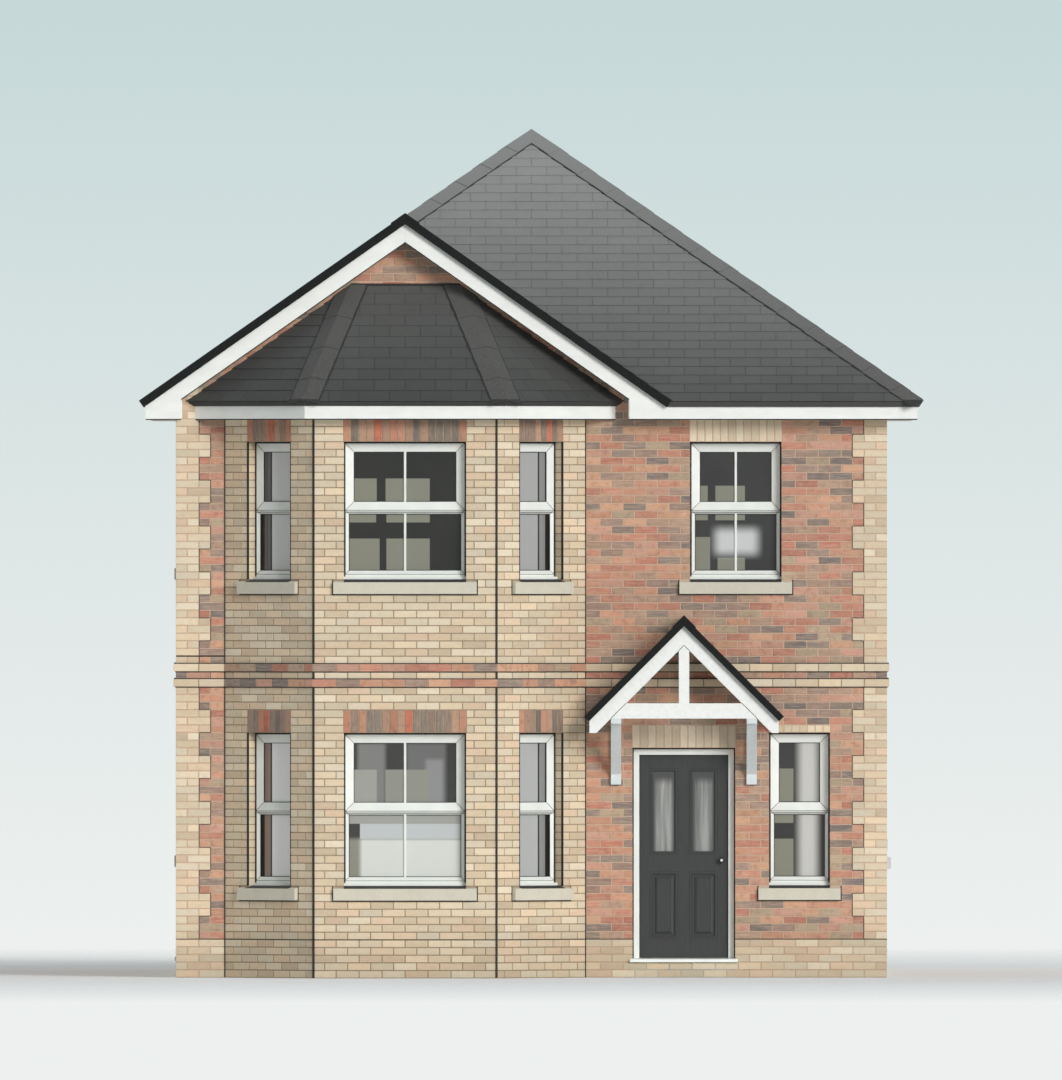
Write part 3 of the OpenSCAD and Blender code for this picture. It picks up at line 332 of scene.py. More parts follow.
class Face:
    """A wall face seen from outside: x runs to the right and y into the wall."""

    def __init__(self, middle, degrees):
        self.angle = math.radians(degrees)
        self.turn = Matrix.Rotation(self.angle, 4, "Z")
        self.place = Matrix.Translation(middle) @ self.turn
        self.red, self.buff, self.red_lintel, self.buff_lintel = [], [], [], []

    def brick(self, kind, x0, x1, z0, z1, out=proud, upright=False):
        """One brick with its face standing out from the wall, lying or on end."""
        middle = self.place @ Vector(((x0 + x1) / 2, -out, (z0 + z1) / 2))
        long, high = (z1 - z0, x1 - x0) if upright else (x1 - x0, z1 - z0)
        angles = (0, math.radians(90) if upright else 0, self.angle)
        middle += self.turn @ Vector((0, draw.uniform(-uneven, uneven), 0))
        kind.append((middle, angles, (long / brick_long, 1, high / brick_high), draw.random()))

    def run(self, kind, x0, x1, row, start, out=proud, pad=joint / 2, least=0.07):
        """Bricks of one course from x0 to x1, with joints every module from start."""
        z0, z1 = row * course + pad, (row + 1) * course - pad
        at = start + math.ceil((x0 + least - start) / module) * module
        edge = x0
        while at < x1 - least:
            self.brick(kind, edge, at - joint / 2, z0, z1, out)
            edge = at + joint / 2
            at += module
        self.brick(kind, edge, x1, z0, z1, out)

    def soldiers(self, kind, x0, x1, foot, high):
        """A row of bricks over an opening, on end or as headers by the row's height."""
        count = round((x1 - x0) / course)
        pitch = (x1 - x0 + joint) / count
        for i in range(count):
            self.brick(kind, x0 + i * pitch, x0 + (i + 1) * pitch - joint,
                       foot + joint / 2, foot + high - joint / 2, upright=high > course)


def free_runs(x0, x1, row, closed):
    """What is left of x0 to x1 in a course, beside the openings that it meets."""
    z0, z1 = row * course, (row + 1) * course
    runs = [(x0, x1)]
    for low, high, bottom, top in closed:
        if top > z0 + joint and bottom < z1 - joint:
            runs = [part for a, b in runs for part in ((a, min(b, low)), (max(a, high), b))
                    if part[1] - part[0] > scrap]
    return runs


jamb_lap, door_lap, sill_bed = 0.0025, 0.0022, 0.001


def window_gaps(x, width, sill, head, lintel):
    """The opening, its stone sill and its lintel, as boxes that bricks keep out of."""
    jamb = width / 2 - jamb_lap
    stone = width / 2 + sill_horn + joint / 2
    return [(x - jamb, x + jamb, sill, head),
            (x - stone, x + stone, sill - sill_drop - joint, sill - sill_bed),
            (x - width / 2 - joint / 2, x + width / 2 + joint / 2, head, head + lintel)]


plinth_rows, quoin_rows = 5, 3
string_rows = (38, 40)
last_row = round(eaves / course)


def quoin_width(row, wide_first):
    """How far the buff quoin runs from the corner in a course."""
    step = (row - plinth_rows) // quoin_rows
    return module * (1.5 if (step % 2 == 0) == wide_first else 1.0)


def bond(row, half, turned, out=proud):
    """Where the bricks of a course begin, and a joint of it to count the others from."""
    long_here = (row % 2 == 0) != turned
    start = -half + ((module if long_here else module / 2) - joint / 2)
    return (-half - out if long_here else -half + module / 2), start


def main_wall(face, half, rows, closed, turned, x0=None, x1=None):
    """Courses of a main wall between its two corners. Turned faces bond into the others."""
    left = -half - proud if x0 is None else x0
    right = half + proud if x1 is None else x1
    for row in rows:
        if row in string_rows:
            continue
        first, start = bond(row, half, turned)
        inner = half - quoin_width(row, turned)
        for a, b in free_runs(max(left, first), min(right, -first), row, closed):
            if row < plinth_rows:
                face.run(face.buff, a, b, row, start)
            elif row == string_rows[0] + 1:
                face.run(face.red, a, b, row, start)
            else:
                parts = [(a, min(b, -inner - joint / 2), face.buff),
                         (max(a, -inner + joint / 2), min(b, inner - joint / 2), face.red),
                         (max(a, inner + joint / 2), b, face.buff)]
                for low, high, kind in parts:
                    if high - low > scrap:
                        face.run(kind, low, high, row, start)


door_low, door_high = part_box("door_frame")
side_half = -front_y
door_head = door_high.z
right_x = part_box("front_windows")[1].x - narrow / 2
upper_x = half_width - 1.4795
rear_x = half_width - 1.8

street = Face((0, front_y, 0), 0)
right_side = Face((half_width, 0, 0), 90)
rear = Face((0, -front_y, 0), 180)
left_side = Face((-half_width, 0, 0), -90)

street_gaps = [(bay_x - bay_end, bay_x + bay_end, 0, eaves),
               (door_low.x + door_lap, door_high.x - door_lap, 2 * course, door_head),
               (door_low.x - joint / 2, door_high.x + joint / 2, door_head, door_head + lintel_high)]
street_gaps += window_gaps(right_x, narrow, ground_sill, ground_head, course)
street_gaps += window_gaps(upper_x, single, first_sill, first_head, lintel_high)
rear_gaps = []
for x in (-rear_x, rear_x):
    rear_gaps += window_gaps(x, wide, ground_sill, ground_head, lintel_high)
    rear_gaps += window_gaps(x, wide, first_sill, first_head, lintel_high)

main_wall(street, half_width, range(last_row), street_gaps, False)
main_wall(rear, half_width, range(last_row), rear_gaps, False)
main_wall(right_side, side_half, range(last_row), [], True)
main_wall(left_side, side_half, range(last_row), [], True)

# The gable wall goes on up in the same brick as far as the tiles, each course cut short
# of the slope, where the soffit hides its ends.
pitch = math.radians(35)
verge_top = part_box("gable_roof")[1].z
roof_over_wall, least_span, most_gable_rows = 0.12, 0.1, 25


def gable_span(level):
    """Half the width of the gable wall at a level, under its tiles."""
    return (verge_top - roof_over_wall - level) / math.tan(pitch)


for row in range(last_row, last_row + most_gable_rows):
    span = gable_span((row + 1) * course)
    if span < least_span:
        break
    left = max(-half_width, bay_x - span)
    main_wall(street, half_width, [row], [], False,
              x0=left - (proud if left == -half_width else 0), x1=bay_x + span)

# Over the openings bricks stand on end as soldiers, carried on steel angles that don't
# show. Over the window by the door it is one course of headers.
street.soldiers(street.buff_lintel, door_low.x, door_high.x, door_head, lintel_high)
street.soldiers(street.buff_lintel, upper_x - single / 2, upper_x + single / 2, first_head,
                lintel_high)
street.soldiers(street.buff, right_x - narrow / 2, right_x + narrow / 2, ground_head, course)
for x in (-rear_x, rear_x):
    for head in (ground_head, first_head):
        rear.soldiers(rear.buff_lintel, x - wide / 2, x + wide / 2, head, lintel_high)

# Two string courses of brick stand out 22 mm round the walls and the bay, one course
# apart, laid with hardly a bed joint: buff on the walls, red on the bay.
string_out = 0.022 + proud
string_pad = 0.0015


def string_course(face, kind, half, turned=False, closed=()):
    """Both rows on one wall, in the bond of that wall."""
    for row in string_rows:
        first, start = bond(row, half, turned, string_out)
        for a, b in free_runs(first, -first, row, closed):
            face.run(kind, a, b, row, start, out=string_out, pad=string_pad)


canopy_low, canopy_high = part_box("canopy_roof")
canopy_x = (canopy_low.x + canopy_high.x) / 2
rafters_under = 0.2546


def canopy_gap(row):
    """Where the slopes of the canopy pass in front of a course. Its bricks run into them."""
    outer = canopy_high.z - (row + 1) * course
    inner = canopy_high.z - rafters_under - row * course
    return [(canopy_x - outer, canopy_x - inner), (canopy_x + inner, canopy_x + outer)]


string_gaps = [(bay_x - bay_end, bay_x + bay_end, 0, eaves)]
for row in string_rows:
    string_gaps += [(a, b, row * course, (row + 1) * course) for a, b in canopy_gap(row)]
string_course(street, street.buff, half_width, closed=string_gaps)
string_course(rear, rear.buff, half_width)
string_course(right_side, right_side.buff, side_half, turned=True)
string_course(left_side, left_side.buff, side_half, turned=True)

# The bay is buff brick, with red soldier lintels and red string courses. Its corners
# are cut bricks, so that the courses run on round them.
splay_half = bay_depth / math.sqrt(2)
bay_front = Face((bay_x, front_y - bay_depth, 0), 0)
bay_right = Face((bay_x + bay_half + bay_depth / 2, front_y - bay_depth / 2, 0), 45)
bay_left = Face((bay_x - bay_half - bay_depth / 2, front_y - bay_depth / 2, 0), -45)
corner_angle = 22.5
corner = math.tan(math.radians(corner_angle))
for face, half, window in ((bay_front, bay_half, wide), (bay_right, splay_half, narrow),
                           (bay_left, splay_half, narrow)):
    gaps = (window_gaps(0, window, ground_sill, ground_head, lintel_high)
            + window_gaps(0, window, first_sill, first_head, lintel_high))
    for row in range(last_row):
        out = string_out if row in string_rows else proud
        pad = string_pad if row in string_rows else joint / 2
        kind = face.red if row in string_rows else face.buff
        first_brick = module if (row % 2 == 0) == (face is bay_front) else module / 2
        start = -half + first_brick - joint / 2
        if face is bay_left:
            start = half - first_brick + joint / 2
        low = -half + (out if face is bay_left else -out) * corner
        high = half + (-out if face is bay_right else out) * corner
        for a, b in free_runs(low, high, row, gaps):
            face.run(kind, a, b, row, start, out=out, pad=pad)
    for head in (ground_head, first_head):
        face.soldiers(face.red_lintel, -window / 2, window / 2, head, lintel_high)

# The bricks are fired clay, sanded and burnt to mixed tones, laid as they come. The lowest
# courses and their mortar are painted darker towards the ground: painted shade.


def ground_shade_level(mix, shaded_share=0.76, unshaded_at=0.8):
    """How much colour is left at a height: painted shade darkens the foot of the walls."""
    return mix.rise(mix.axis("Z"), 0, unshaded_at, start=shaded_share)


def brick_finish(name, stops, streak, lights, darks, rough, run=(7, 7, 70)):
    """Fired clay: a tone for each brick, streaks along it and a sanded face."""
    mix = Mix(name)
    tone = mix.add("ShaderNodeAttribute", attribute_name="tone").outputs["Fac"]
    second = mix.math("FRACT", mix.math("MULTIPLY", tone, 17.31), 0)
    colour = mix.ramp(tone, stops, steps=True)
    along = mix.noise(1.0, 4, 0.6, mix.scaled(run))
    colour = mix.blend(mix.ramp(along, [(0.42, (0, 0, 0, 1)), (0.72, (streak,) * 3 + (1,))]),
                       colour, lights)
    blotch = mix.noise(16, 3, 0.6)
    colour = mix.blend(mix.ramp(blotch, [(0.5, (0, 0, 0, 1)), (0.75, (streak,) * 3 + (1,))]),
                       colour, darks)
    level = mix.math("ADD", mix.math("MULTIPLY", second, 0.22), 0.88)
    # Painted shade: the bricks darken towards the ground.
    level = mix.math("MULTIPLY", level, ground_shade_level(mix))
    colour = mix.blend(1.0, colour, mix.grey(level), "MULTIPLY")
    grain = mix.noise(420, 4, 0.7)
    mix.bump(mix.math("ADD", grain, mix.math("MULTIPLY", along, 0.8)), 0.35, 0.002)
    return mix.finish(colour, rough)


red_finish = brick_finish("red_stock_brick", [
    (0.00, paint(198, 144, 116)), (0.13, paint(190, 130, 107)), (0.24, paint(173, 143, 121)),
    (0.36, paint(201, 153, 122)), (0.46, paint(151, 128, 114)), (0.57, paint(184, 119, 98)),
    (0.66, paint(196, 147, 126)), (0.76, paint(135, 122, 111)), (0.86, paint(171, 152, 126)),
    (0.94, paint(118, 110, 105))], 0.55, paint(204, 172, 147), paint(140, 100, 86), 0.88)
buff_finish = brick_finish("buff_stock_brick", [
    (0.00, paint(218, 200, 171)), (0.20, paint(212, 191, 160)), (0.38, paint(220, 205, 179)),
    (0.55, paint(215, 188, 158)), (0.70, paint(209, 194, 166)), (0.84, paint(222, 199, 167)),
    (0.93, paint(204, 182, 153))], 0.3, paint(228, 214, 190), paint(194, 169, 138), 0.86)
red_lintel_finish = brick_finish("brindled_soldier_brick", [
    (0.00, paint(140, 118, 104)), (0.14, paint(184, 122, 96)), (0.26, paint(124, 114, 104)),
    (0.38, paint(176, 138, 114)), (0.52, paint(112, 103, 96)), (0.64, paint(196, 104, 78)),
    (0.73, paint(150, 126, 108)), (0.86, paint(186, 132, 106))],
    0.5, paint(180, 150, 126), paint(108, 90, 77), 0.88, run=(70, 70, 7))
# The buff soldiers are a touch paler and less yellow than the wall bricks: painted light against the shade
# under the eaves and the canopy.
buff_lintel_finish = brick_finish("buff_soldier_brick", [
    (0.00, paint(220, 202, 176)), (0.30, paint(212, 194, 167)), (0.55, paint(223, 208, 182)),
    (0.80, paint(207, 189, 163))],
    0.3, paint(230, 216, 192), paint(190, 170, 143), 0.86, run=(70, 70, 7))


def piece(name, mesh_or_bmesh, material, body="house"):
    """A finished piece of the object, with its place in its mesh."""
    mesh = mesh_or_bmesh
    if isinstance(mesh_or_bmesh, bmesh.types.BMesh):
        bmesh.ops.recalc_face_normals(mesh_or_bmesh, faces=mesh_or_bmesh.faces)
        mesh = settle(name, mesh_or_bmesh)
    mesh.name = name
    mesh.materials.clear()
    mesh.materials.append(material)
    thing = show(name, mesh)
    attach(thing, body)
    return thing


brick_mesh = brick_template()
for name, faces in (("street", (street,)), ("bay", (bay_front, bay_left, bay_right)),
                    ("right_side", (right_side,)), ("left_side", (left_side,)), ("rear", (rear,))):
    for kind, finish, slot in (("red", red_finish, "red_brick"), ("buff", buff_finish, "buff_brick"),
                               ("red_lintel", red_lintel_finish, "red_brick"),
                               ("buff_lintel", buff_lintel_finish, "buff_brick")):
        places = [place for face in faces for place in getattr(face, kind)]
        if places:
            piece(f"{kind}_bricks_{name}", lay(brick_mesh, places), finish)


def mortar_finish(name, colour, dark):
    """Lime and sand mortar, struck a little back from the bricks, and plaster indoors."""
    mix = Mix(name)
    spots = mix.ramp(mix.noise(60, 4, 0.65), [(0.35, dark), (0.65, colour)])
    # Painted shade: the mortar darkens towards the ground too.
    spots = mix.blend(1.0, spots, mix.grey(ground_shade_level(mix)), "MULTIPLY")
    edge = 0.002
    within = mix.math("LESS_THAN", mix.math("ABSOLUTE", mix.axis("X"), 0), inner_x + edge)
    behind = mix.math("LESS_THAN", mix.math("ABSOLUTE", mix.axis("Y"), 0), inner_y + edge)
    indoors = mix.math("MULTIPLY", within, behind)
    colour = mix.blend(indoors, spots, paint(226, 222, 212))
    mix.bump(mix.noise(260, 4, 0.7), 0.4, 0.002)
    return mix.finish(colour, 0.95)


def dress(material, *names):
    """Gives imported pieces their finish."""
    for name in names:
        nodes[name].data.materials.clear()
        nodes[name].data.materials.append(material)


dress(mortar_finish("pale_mortar", paint(206, 178, 154), paint(186, 158, 136)),
      "left_wall", "right_wall", "rear_wall", "front_wall_left", "front_wall_middle",
      "front_wall_over_door", "front_wall_right", "front_wall_upper", "gable_wall")
dress(mortar_finish("brown_mortar", paint(166, 148, 124), paint(146, 128, 106)),
      "bay_wall_front", "bay_wall_left", "bay_wall_right", "string_courses")

# A damp proof course shows as a thin black line in the bed joint over the plinth, and
# dark mortar fillets weather the tops of the string courses. The dark strip under each
# string course is painted shade, where the course shades the wall below it. Left of
# the bay a cavity tray shows as a dark bed joint, one course over them.
bedded, dpc_half, fillet, tray_half = 0.02, 0.003, 0.009, 0.006
dpc_level = plinth_rows * course
tray_level = (string_rows[1] + 2) * course
wall_runs = [
    (street, -half_width, bay_x - bay_end), (street, bay_x + bay_end, half_width),
    (rear, -half_width, half_width), (right_side, -side_half, side_half),
    (left_side, -side_half, side_half), (bay_front, -bay_half, bay_half),
    (bay_right, -splay_half, splay_half), (bay_left, -splay_half, splay_half)]
lines = bmesh.new()


def bed_line(face, a, b, z0, z1, out):
    """A dark line along a wall from a to b, that stands out from it."""
    bar(lines, face.place, a, b, -out, bedded, z0, z1)


for face, low, high in wall_runs:
    runs = [(low, high)]
    if face is street:
        runs = free_runs(low, high, plinth_rows, [(door_low.x, door_high.x, 0, door_head)])
    for a, b in runs:
        bed_line(face, a, b, dpc_level - dpc_half, dpc_level + dpc_half, proud + 0.001)
    for row in string_rows:
        beside = [(a, b, 0, eaves) for a, b in canopy_gap(row)] if face is street else []
        for a, b in free_runs(low, high, row, beside):
            top, bottom = (row + 1) * course, row * course
            bed_line(face, a, b, top, top + fillet, string_out - 0.004)
            # Painted shade: a dark strip under the string course.
            bed_line(face, a, b, bottom - fillet, bottom, proud + 0.006)
bed_line(street, -half_width, bay_x - bay_end, tray_level - tray_half, tray_level + tray_half,
         proud + 0.003)

# The bay is pointed dark down its corners, and so are the edges of the toothed quoins.
corner_half, return_half, quoin_half, raked = 0.011, 0.005, 0.0025, 0.01
for side in (-1, 1):
    turned = Matrix.Rotation(math.radians(corner_angle * side), 4, "Z")
    outer = bay_front.place @ Matrix.Translation((side * bay_half, 0, 0)) @ turned
    bar(lines, outer, -corner_half, corner_half, -proud - 0.003, raked, 0, eaves)
    inner = street.place @ Matrix.Translation((bay_x + side * bay_end, 0, 0))
    bar(lines, inner, -return_half, return_half, -proud - 0.008, raked, 0, eaves)
for face, half, turned in ((street, half_width, False), (rear, half_width, False),
                           (right_side, side_half, True), (left_side, side_half, True)):
    for step in range(plinth_rows, last_row, quoin_rows):
        low, high = step * course, min(step + quoin_rows, last_row) * course
        for side in (-1, 1):
            a, b = sorted((side * (half - module), side * (half - 1.5 * module)))
            edge = side * (half - quoin_width(step, turned))
            bar(lines, face.place, edge - quoin_half, edge + quoin_half, -proud, raked, low, high)
            if step > plinth_rows:
                bar(lines, face.place, a, b, -proud, raked, low - quoin_half, low + quoin_half)


def mottled(name, grain, dark, pale, rough, stops=(0.3, 0.7), relief=None, **sockets):
    """A plain finish that wavers between two near tones. A grain is the scale, detail and
    roughness of a noise. A relief is a grain, its strength and its depth."""
    mix = Mix(name)
    tone = mix.ramp(mix.noise(*grain), list(zip(stops, (paint(*dark), paint(*pale)))))
    if relief:
        fine, strength, depth = relief
        mix.bump(mix.noise(*fine), strength, depth)
    return mix.finish(tone, rough, **sockets)


piece("dark_fillets", lines, mottled("dark_fillet", (40, 3), (34, 33, 32), (52, 50, 47), 0.9))

# The sills are cast stone, cream, made in moulds. They are bedded under each window with
# a weathered top and a drip under the nose, in dark mastic joints.
mix = Mix("cast_stone")
stain = mix.ramp(mix.noise(9, 4, 0.6, mix.scaled((1, 1, 0.35))), [
    (0.45, (0, 0, 0, 1)), (0.8, (0.3, 0.3, 0.3, 1))])
stone = mix.ramp(mix.noise(55, 5, 0.7), [(0.3, paint(200, 194, 176)), (0.7, paint(210, 204, 187))])
stone = mix.blend(stain, stone, paint(180, 174, 154))
mix.bump(mix.noise(320, 4, 0.7), 0.3, 0.0015)
dress(mix.finish(stone, 0.85), "front_sills", "rear_sills")

# The windows are white plastic frames with steel cores: an outer frame, a bevelled sash
# over a lower light, a middle bar in the wide ones, and sealed units on black gaskets.
reveal, frame_edge, sash = 0.105, 0.015, 0.082
light_side, light_bottom, meeting, lower_bevel = 0.049, 0.058, 0.023, 0.031
subcill_high, subcill_out = 0.030, 0.035
ground_lower, first_lower = 0.723, 0.668
windows = []
for storey in ((ground_sill, ground_head, ground_lower), (first_sill, first_head, first_lower)):
    windows += [(bay_front, 0, wide) + storey, (bay_right, 0, narrow) + storey,
                (bay_left, 0, narrow) + storey, (rear, -rear_x, wide) + storey,
                (rear, rear_x, wide) + storey]
windows += [(street, right_x, narrow, ground_sill, ground_head, ground_lower),
            (street, upper_x, single, first_sill, first_head, first_lower)]


def ring(shape, place, half, z0, z1, profile):
    """A mitred ring in an opening: a square loop drawn along a closed profile of steps
    inward and depths."""
    def put(points, step):
        inward, deep = step
        for point in points:
            level = z1 - inward if point.co.z > (z0 + z1) / 2 else z0 + inward
            point.co = (math.copysign(half - inward, point.co.x), deep, level)

    corners = ((-half, z0), (half, z0), (half, z1), (-half, z1))
    made = [shape.verts.new((x, 0, z)) for x, z in corners]
    edges = [shape.edges.new((made[i - 1], made[i])) for i in range(4)]
    put(made, profile[0])
    for step in profile[1:] + profile[:1]:
        drawn = bmesh.ops.extrude_edge_only(shape, edges=edges)["geom"]
        points = [part for part in drawn if isinstance(part, bmesh.types.BMVert)]
        edges = [part for part in drawn if isinstance(part, bmesh.types.BMEdge)
                 and all(end in points for end in part.verts)]
        put(points, step)
        made += points
    bmesh.ops.transform(shape, matrix=place, verts=made)
    bmesh.ops.remove_doubles(shape, verts=made, dist=1e-6)


def box_profile(out, into, front, back):
    """A square section for a ring: two steps inward, and two depths."""
    return [(out, back), (out, front), (into, front), (into, back)]


gaskets, bars, mastic = bmesh.new(), bmesh.new(), bmesh.new()
line, sash_deep, gasket_wide = 0.004, 0.020, 0.007
bar_half, bar_front, bar_back, bar_arris = 0.012, 0.014, 0.0305, 0.004
lower_foot, nose_line = 0.022, 0.112
window_mastic, door_mastic, mastic_deep, stone_mastic = 0.017, 0.014, 0.01, 0.011
nose_high, nose_out = 0.113, 0.05
sill_fall = math.atan2(sill_drop - nose_high, reveal - subcill_out + nose_out)


def seal_in(place, half, foot, head, wide_line, out):
    """Mastic between a frame and the bricks: up both sides, and over the head."""
    for x0, x1, z0, z1 in ((-half, -half + wide_line, foot, head), (half - wide_line, half, foot, head),
                           (-half, half, head - wide_line, head)):
        bar(mastic, place, x0, x1, reveal - out, reveal + mastic_deep, z0, z1)


for face, x, width, sill, head, lower in windows:
    place = face.place @ Matrix.Translation((x, 0, sill))
    edge, high = width / 2, head - sill
    upper = (edge - frame_edge - sash, lower + meeting / 2 + sash, high - frame_edge - sash)
    below = (edge - light_side, subcill_high + light_bottom, lower - meeting)
    for half, z0, z1 in (upper, below):
        ring(gaskets, place, half, z0, z1,
             box_profile(0, gasket_wide, reveal + sash_deep + 0.001, reveal + sash_deep + 0.011))
        if width > narrow:
            bar(bars, place, -bar_half, bar_half, reveal + bar_front, reveal + bar_back, z0, z1, bar_arris)
    crack = box_profile(-line / 2, line / 2, reveal - 0.0012, reveal + 0.002)
    ring(gaskets, place, edge - frame_edge, lower + meeting / 2, high - frame_edge, crack)
    ring(gaskets, place, edge - frame_edge - 0.002, subcill_high + lower_foot,
         lower - meeting / 2 + 0.002, crack)
    for (half, z0, z1), bevel in ((upper, sash), (below, lower_bevel)):
        for side, inner_z, step in ((-1, z0, -1), (1, z0, -1), (-1, z1, 1), (1, z1, 1)):
            start = Vector((side * half, reveal + sash_deep, inner_z))
            mitre = Vector((side * bevel, -sash_deep, step * bevel))
            turn = mitre.to_track_quat("X", "Y").to_matrix().to_4x4()
            bar(gaskets, place @ Matrix.Translation(start) @ turn, 0, mitre.length,
                -line / 2, line / 2, -line / 2, line / 2)
    seal_in(place, edge, 0, high, window_mastic, 0.007)
    if face in (bay_left, bay_right):
        for side in (-1, 1):
            arris_at = place @ Matrix.Translation((side * (edge + 0.001), -proud, 0))
            bar(mastic, arris_at, -0.005, 0.005, -0.0015, 0.02, 0, high)
    # The top of the stone is covered dark too, from the frame to the nose: painted shade, a dark sheet where
    # the sub-cill shades the stone.
    slope = place @ Matrix.Translation((0, reveal - subcill_out, 0)) @ Matrix.Rotation(sill_fall, 4, "X")
    bar(mastic, slope, -edge + 0.002, edge - 0.002, -nose_line, 0.03, -0.001, 0.0035)
    stone, foot = edge + sill_horn, -sill_drop - stone_mastic
    for x0, x1, z1 in ((-stone - stone_mastic, -stone, -0.002), (stone, stone + stone_mastic, -0.002),
                       (-stone, stone, -sill_drop)):
        bar(mastic, place, x0, x1, -proud - 0.001, 0.03, foot, z1)

# The door frame stands in the same dark mastic.
door_place = street.place @ Matrix.Translation(((door_low.x + door_high.x) / 2, 0, 0))
door_half = (door_high.x - door_low.x) / 2
seal_in(door_place, door_half, door_low.z, door_head, door_mastic, 0.006)

white_plastic = mottled("white_plastic", (6, 3), (226, 229, 223), (233, 236, 229), 0.34, (0.35, 0.7),
                        ((500, 2), 0.05, 0.0004), Specular_IOR_Level=0.45)
dress(white_plastic, "bay_windows_ground", "bay_windows_first", "front_windows", "rear_windows")
piece("glazing_bars", bars, white_plastic)
piece("glazing_gaskets", gaskets, mottled("black_rubber", (90, 3), (30, 31, 31), (44, 45, 44), 0.6))
piece("mastic_joints", mastic, mottled("dark_mastic", (70, 3), (26, 26, 25), (42, 41, 39), 0.8))

# The roof is covered in flat concrete tiles, dark grey, 300 mm wide at a 150 mm gauge, in
# half bond. Each tile hooks over its batten and its tail lies on the tile below. They
# are cut along hips and valley. Up the main slopes they are painted paler: a painted
# haze, as far surfaces fade towards the backdrop.
roof_low, roof_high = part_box("main_roof")
tile_x, tile_y = roof_high.x, roof_high.y
covering = 0.058
tile_level = roof_low.z + covering * math.cos(pitch)
ridge_y = tile_y - tile_x
valley_x = 2 * bay_x + tile_x
gable_back = tile_x + bay_x - tile_y
bay_pitch = math.radians(45)
bay_out = -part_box("bay_roof")[0].y + front_y - bay_depth
bay_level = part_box("bay_roof")[0].z + covering * math.cos(bay_pitch)
tile_wide, gauge, tile_long, tile_thick, side_gap = 0.300, 0.150, 0.205, 0.009, 0.003
tail_drop, tail_slack, tail_arris = 0.004, 0.0012, 0.003
cut_edge, valley_edge = 0.001, 0.014

tile_half = (tile_wide - side_gap) / 2
shape = bmesh.new()
bar(shape, Matrix(), -tile_half, tile_half, 0, tile_long, tile_thick, 2 * tile_thick)
tail = [e for e in shape.edges if all(v.co.y < 0.001 and v.co.z > tile_thick for v in e.verts)]
chamfer(shape, tail, tail_arris)
tile_mesh = settle("tile", shape)


def slope_frame(x, y, level, degrees, fall):
    """The frame of a slope: x along its eaves, y up the slope, z out of it."""
    return (Matrix.Translation((x, y, level)) @ Matrix.Rotation(math.radians(degrees), 4, "Z")
            @ Matrix.Rotation(fall, 4, "X"))


def slope_normal(frame_of):
    return frame_of.to_3x3() @ Vector((0, 0, 1))


def on_slope(x, y, frame_of):
    """The point of a slope over a place on plan."""
    normal = slope_normal(frame_of)
    near = frame_of.translation
    return Vector((x, y, near.z - ((x - near.x) * normal.x + (y - near.y) * normal.y) / normal.z))


def cut_back(shape, a, b, back):
    """Cuts a mesh along a line on plan, and closes it. What is left of the line stays."""
    away = Vector((b[1] - a[1], a[0] - b[0], 0)).normalized()
    everything = shape.verts[:] + shape.edges[:] + shape.faces[:]
    cut = bmesh.ops.bisect_plane(shape, geom=everything, dist=1e-5, plane_no=away,
                                 plane_co=Vector((a[0], a[1], 0)) - away * back, clear_outer=True)
    rims = [part for part in cut["geom_cut"] if isinstance(part, bmesh.types.BMEdge)]
    bmesh.ops.holes_fill(shape, edges=rims, sides=12)


def pour(made, shape):
    """Adds one shape to another, and empties it."""
    shape.from_mesh(settle("spare", made))


# How far outside an edge the middle of a tile may lie: anywhere at the eaves, where the
# rows begin, nowhere past a seam, and a little past the edges that the tiles are cut to.
reach_over = {"eaves": 9, "seam": 0, "hip": 0.2, "ridge": 0.2, "valley": 0.2, "verge": 0.2, "wall": 0.2}


def tile_slope(shape, frame_of, corners):
    """Tiles one slope. Each corner on plan comes with what runs on from it to the next."""
    into = frame_of.inverted()
    flat = [into @ on_slope(x, y, frame_of) for x, y, _ in corners]
    tilt = math.asin(tile_thick / gauge)
    angles = (frame_of.to_3x3() @ Matrix.Rotation(-tilt, 3, "X")).to_euler()
    low, high = min(p.x for p in flat), max(p.x for p in flat)
    places = []
    for row in range(int(max(p.y for p in flat) / gauge) + 1):
        first = math.floor(low / tile_wide) - 1
        for step in range(first, int(high / tile_wide) + 2):
            x = (step + (row % 2) / 2) * tile_wide
            middle = Vector((x, row * gauge + tile_long / 2, 0))
            wanted = True
            for a, b, (_, _, kind) in zip(flat, flat[1:] + flat[:1], corners):
                along = (b - a).normalized()
                outside = (middle - a).dot(Vector((along.y, -along.x, 0)))
                wanted = wanted and outside < reach_over[kind]
            if wanted:
                slack = draw.uniform(-tail_slack, tail_slack)
                tail_at = frame_of @ Vector((x, row * gauge - tail_drop + slack, 0))
                places.append((tail_at, angles, (1, 1, 1), draw.random()))
    laid = lay(tile_mesh, places)
    made = bmesh.new()
    made.from_mesh(laid)
    for (ax, ay, kind), (bx, by, _) in zip(corners, corners[1:] + corners[:1]):
        if kind not in ("eaves", "seam"):
            cut_back(made, (ax, ay), (bx, by), valley_edge if kind == "valley" else cut_edge)
    pour(made, shape)


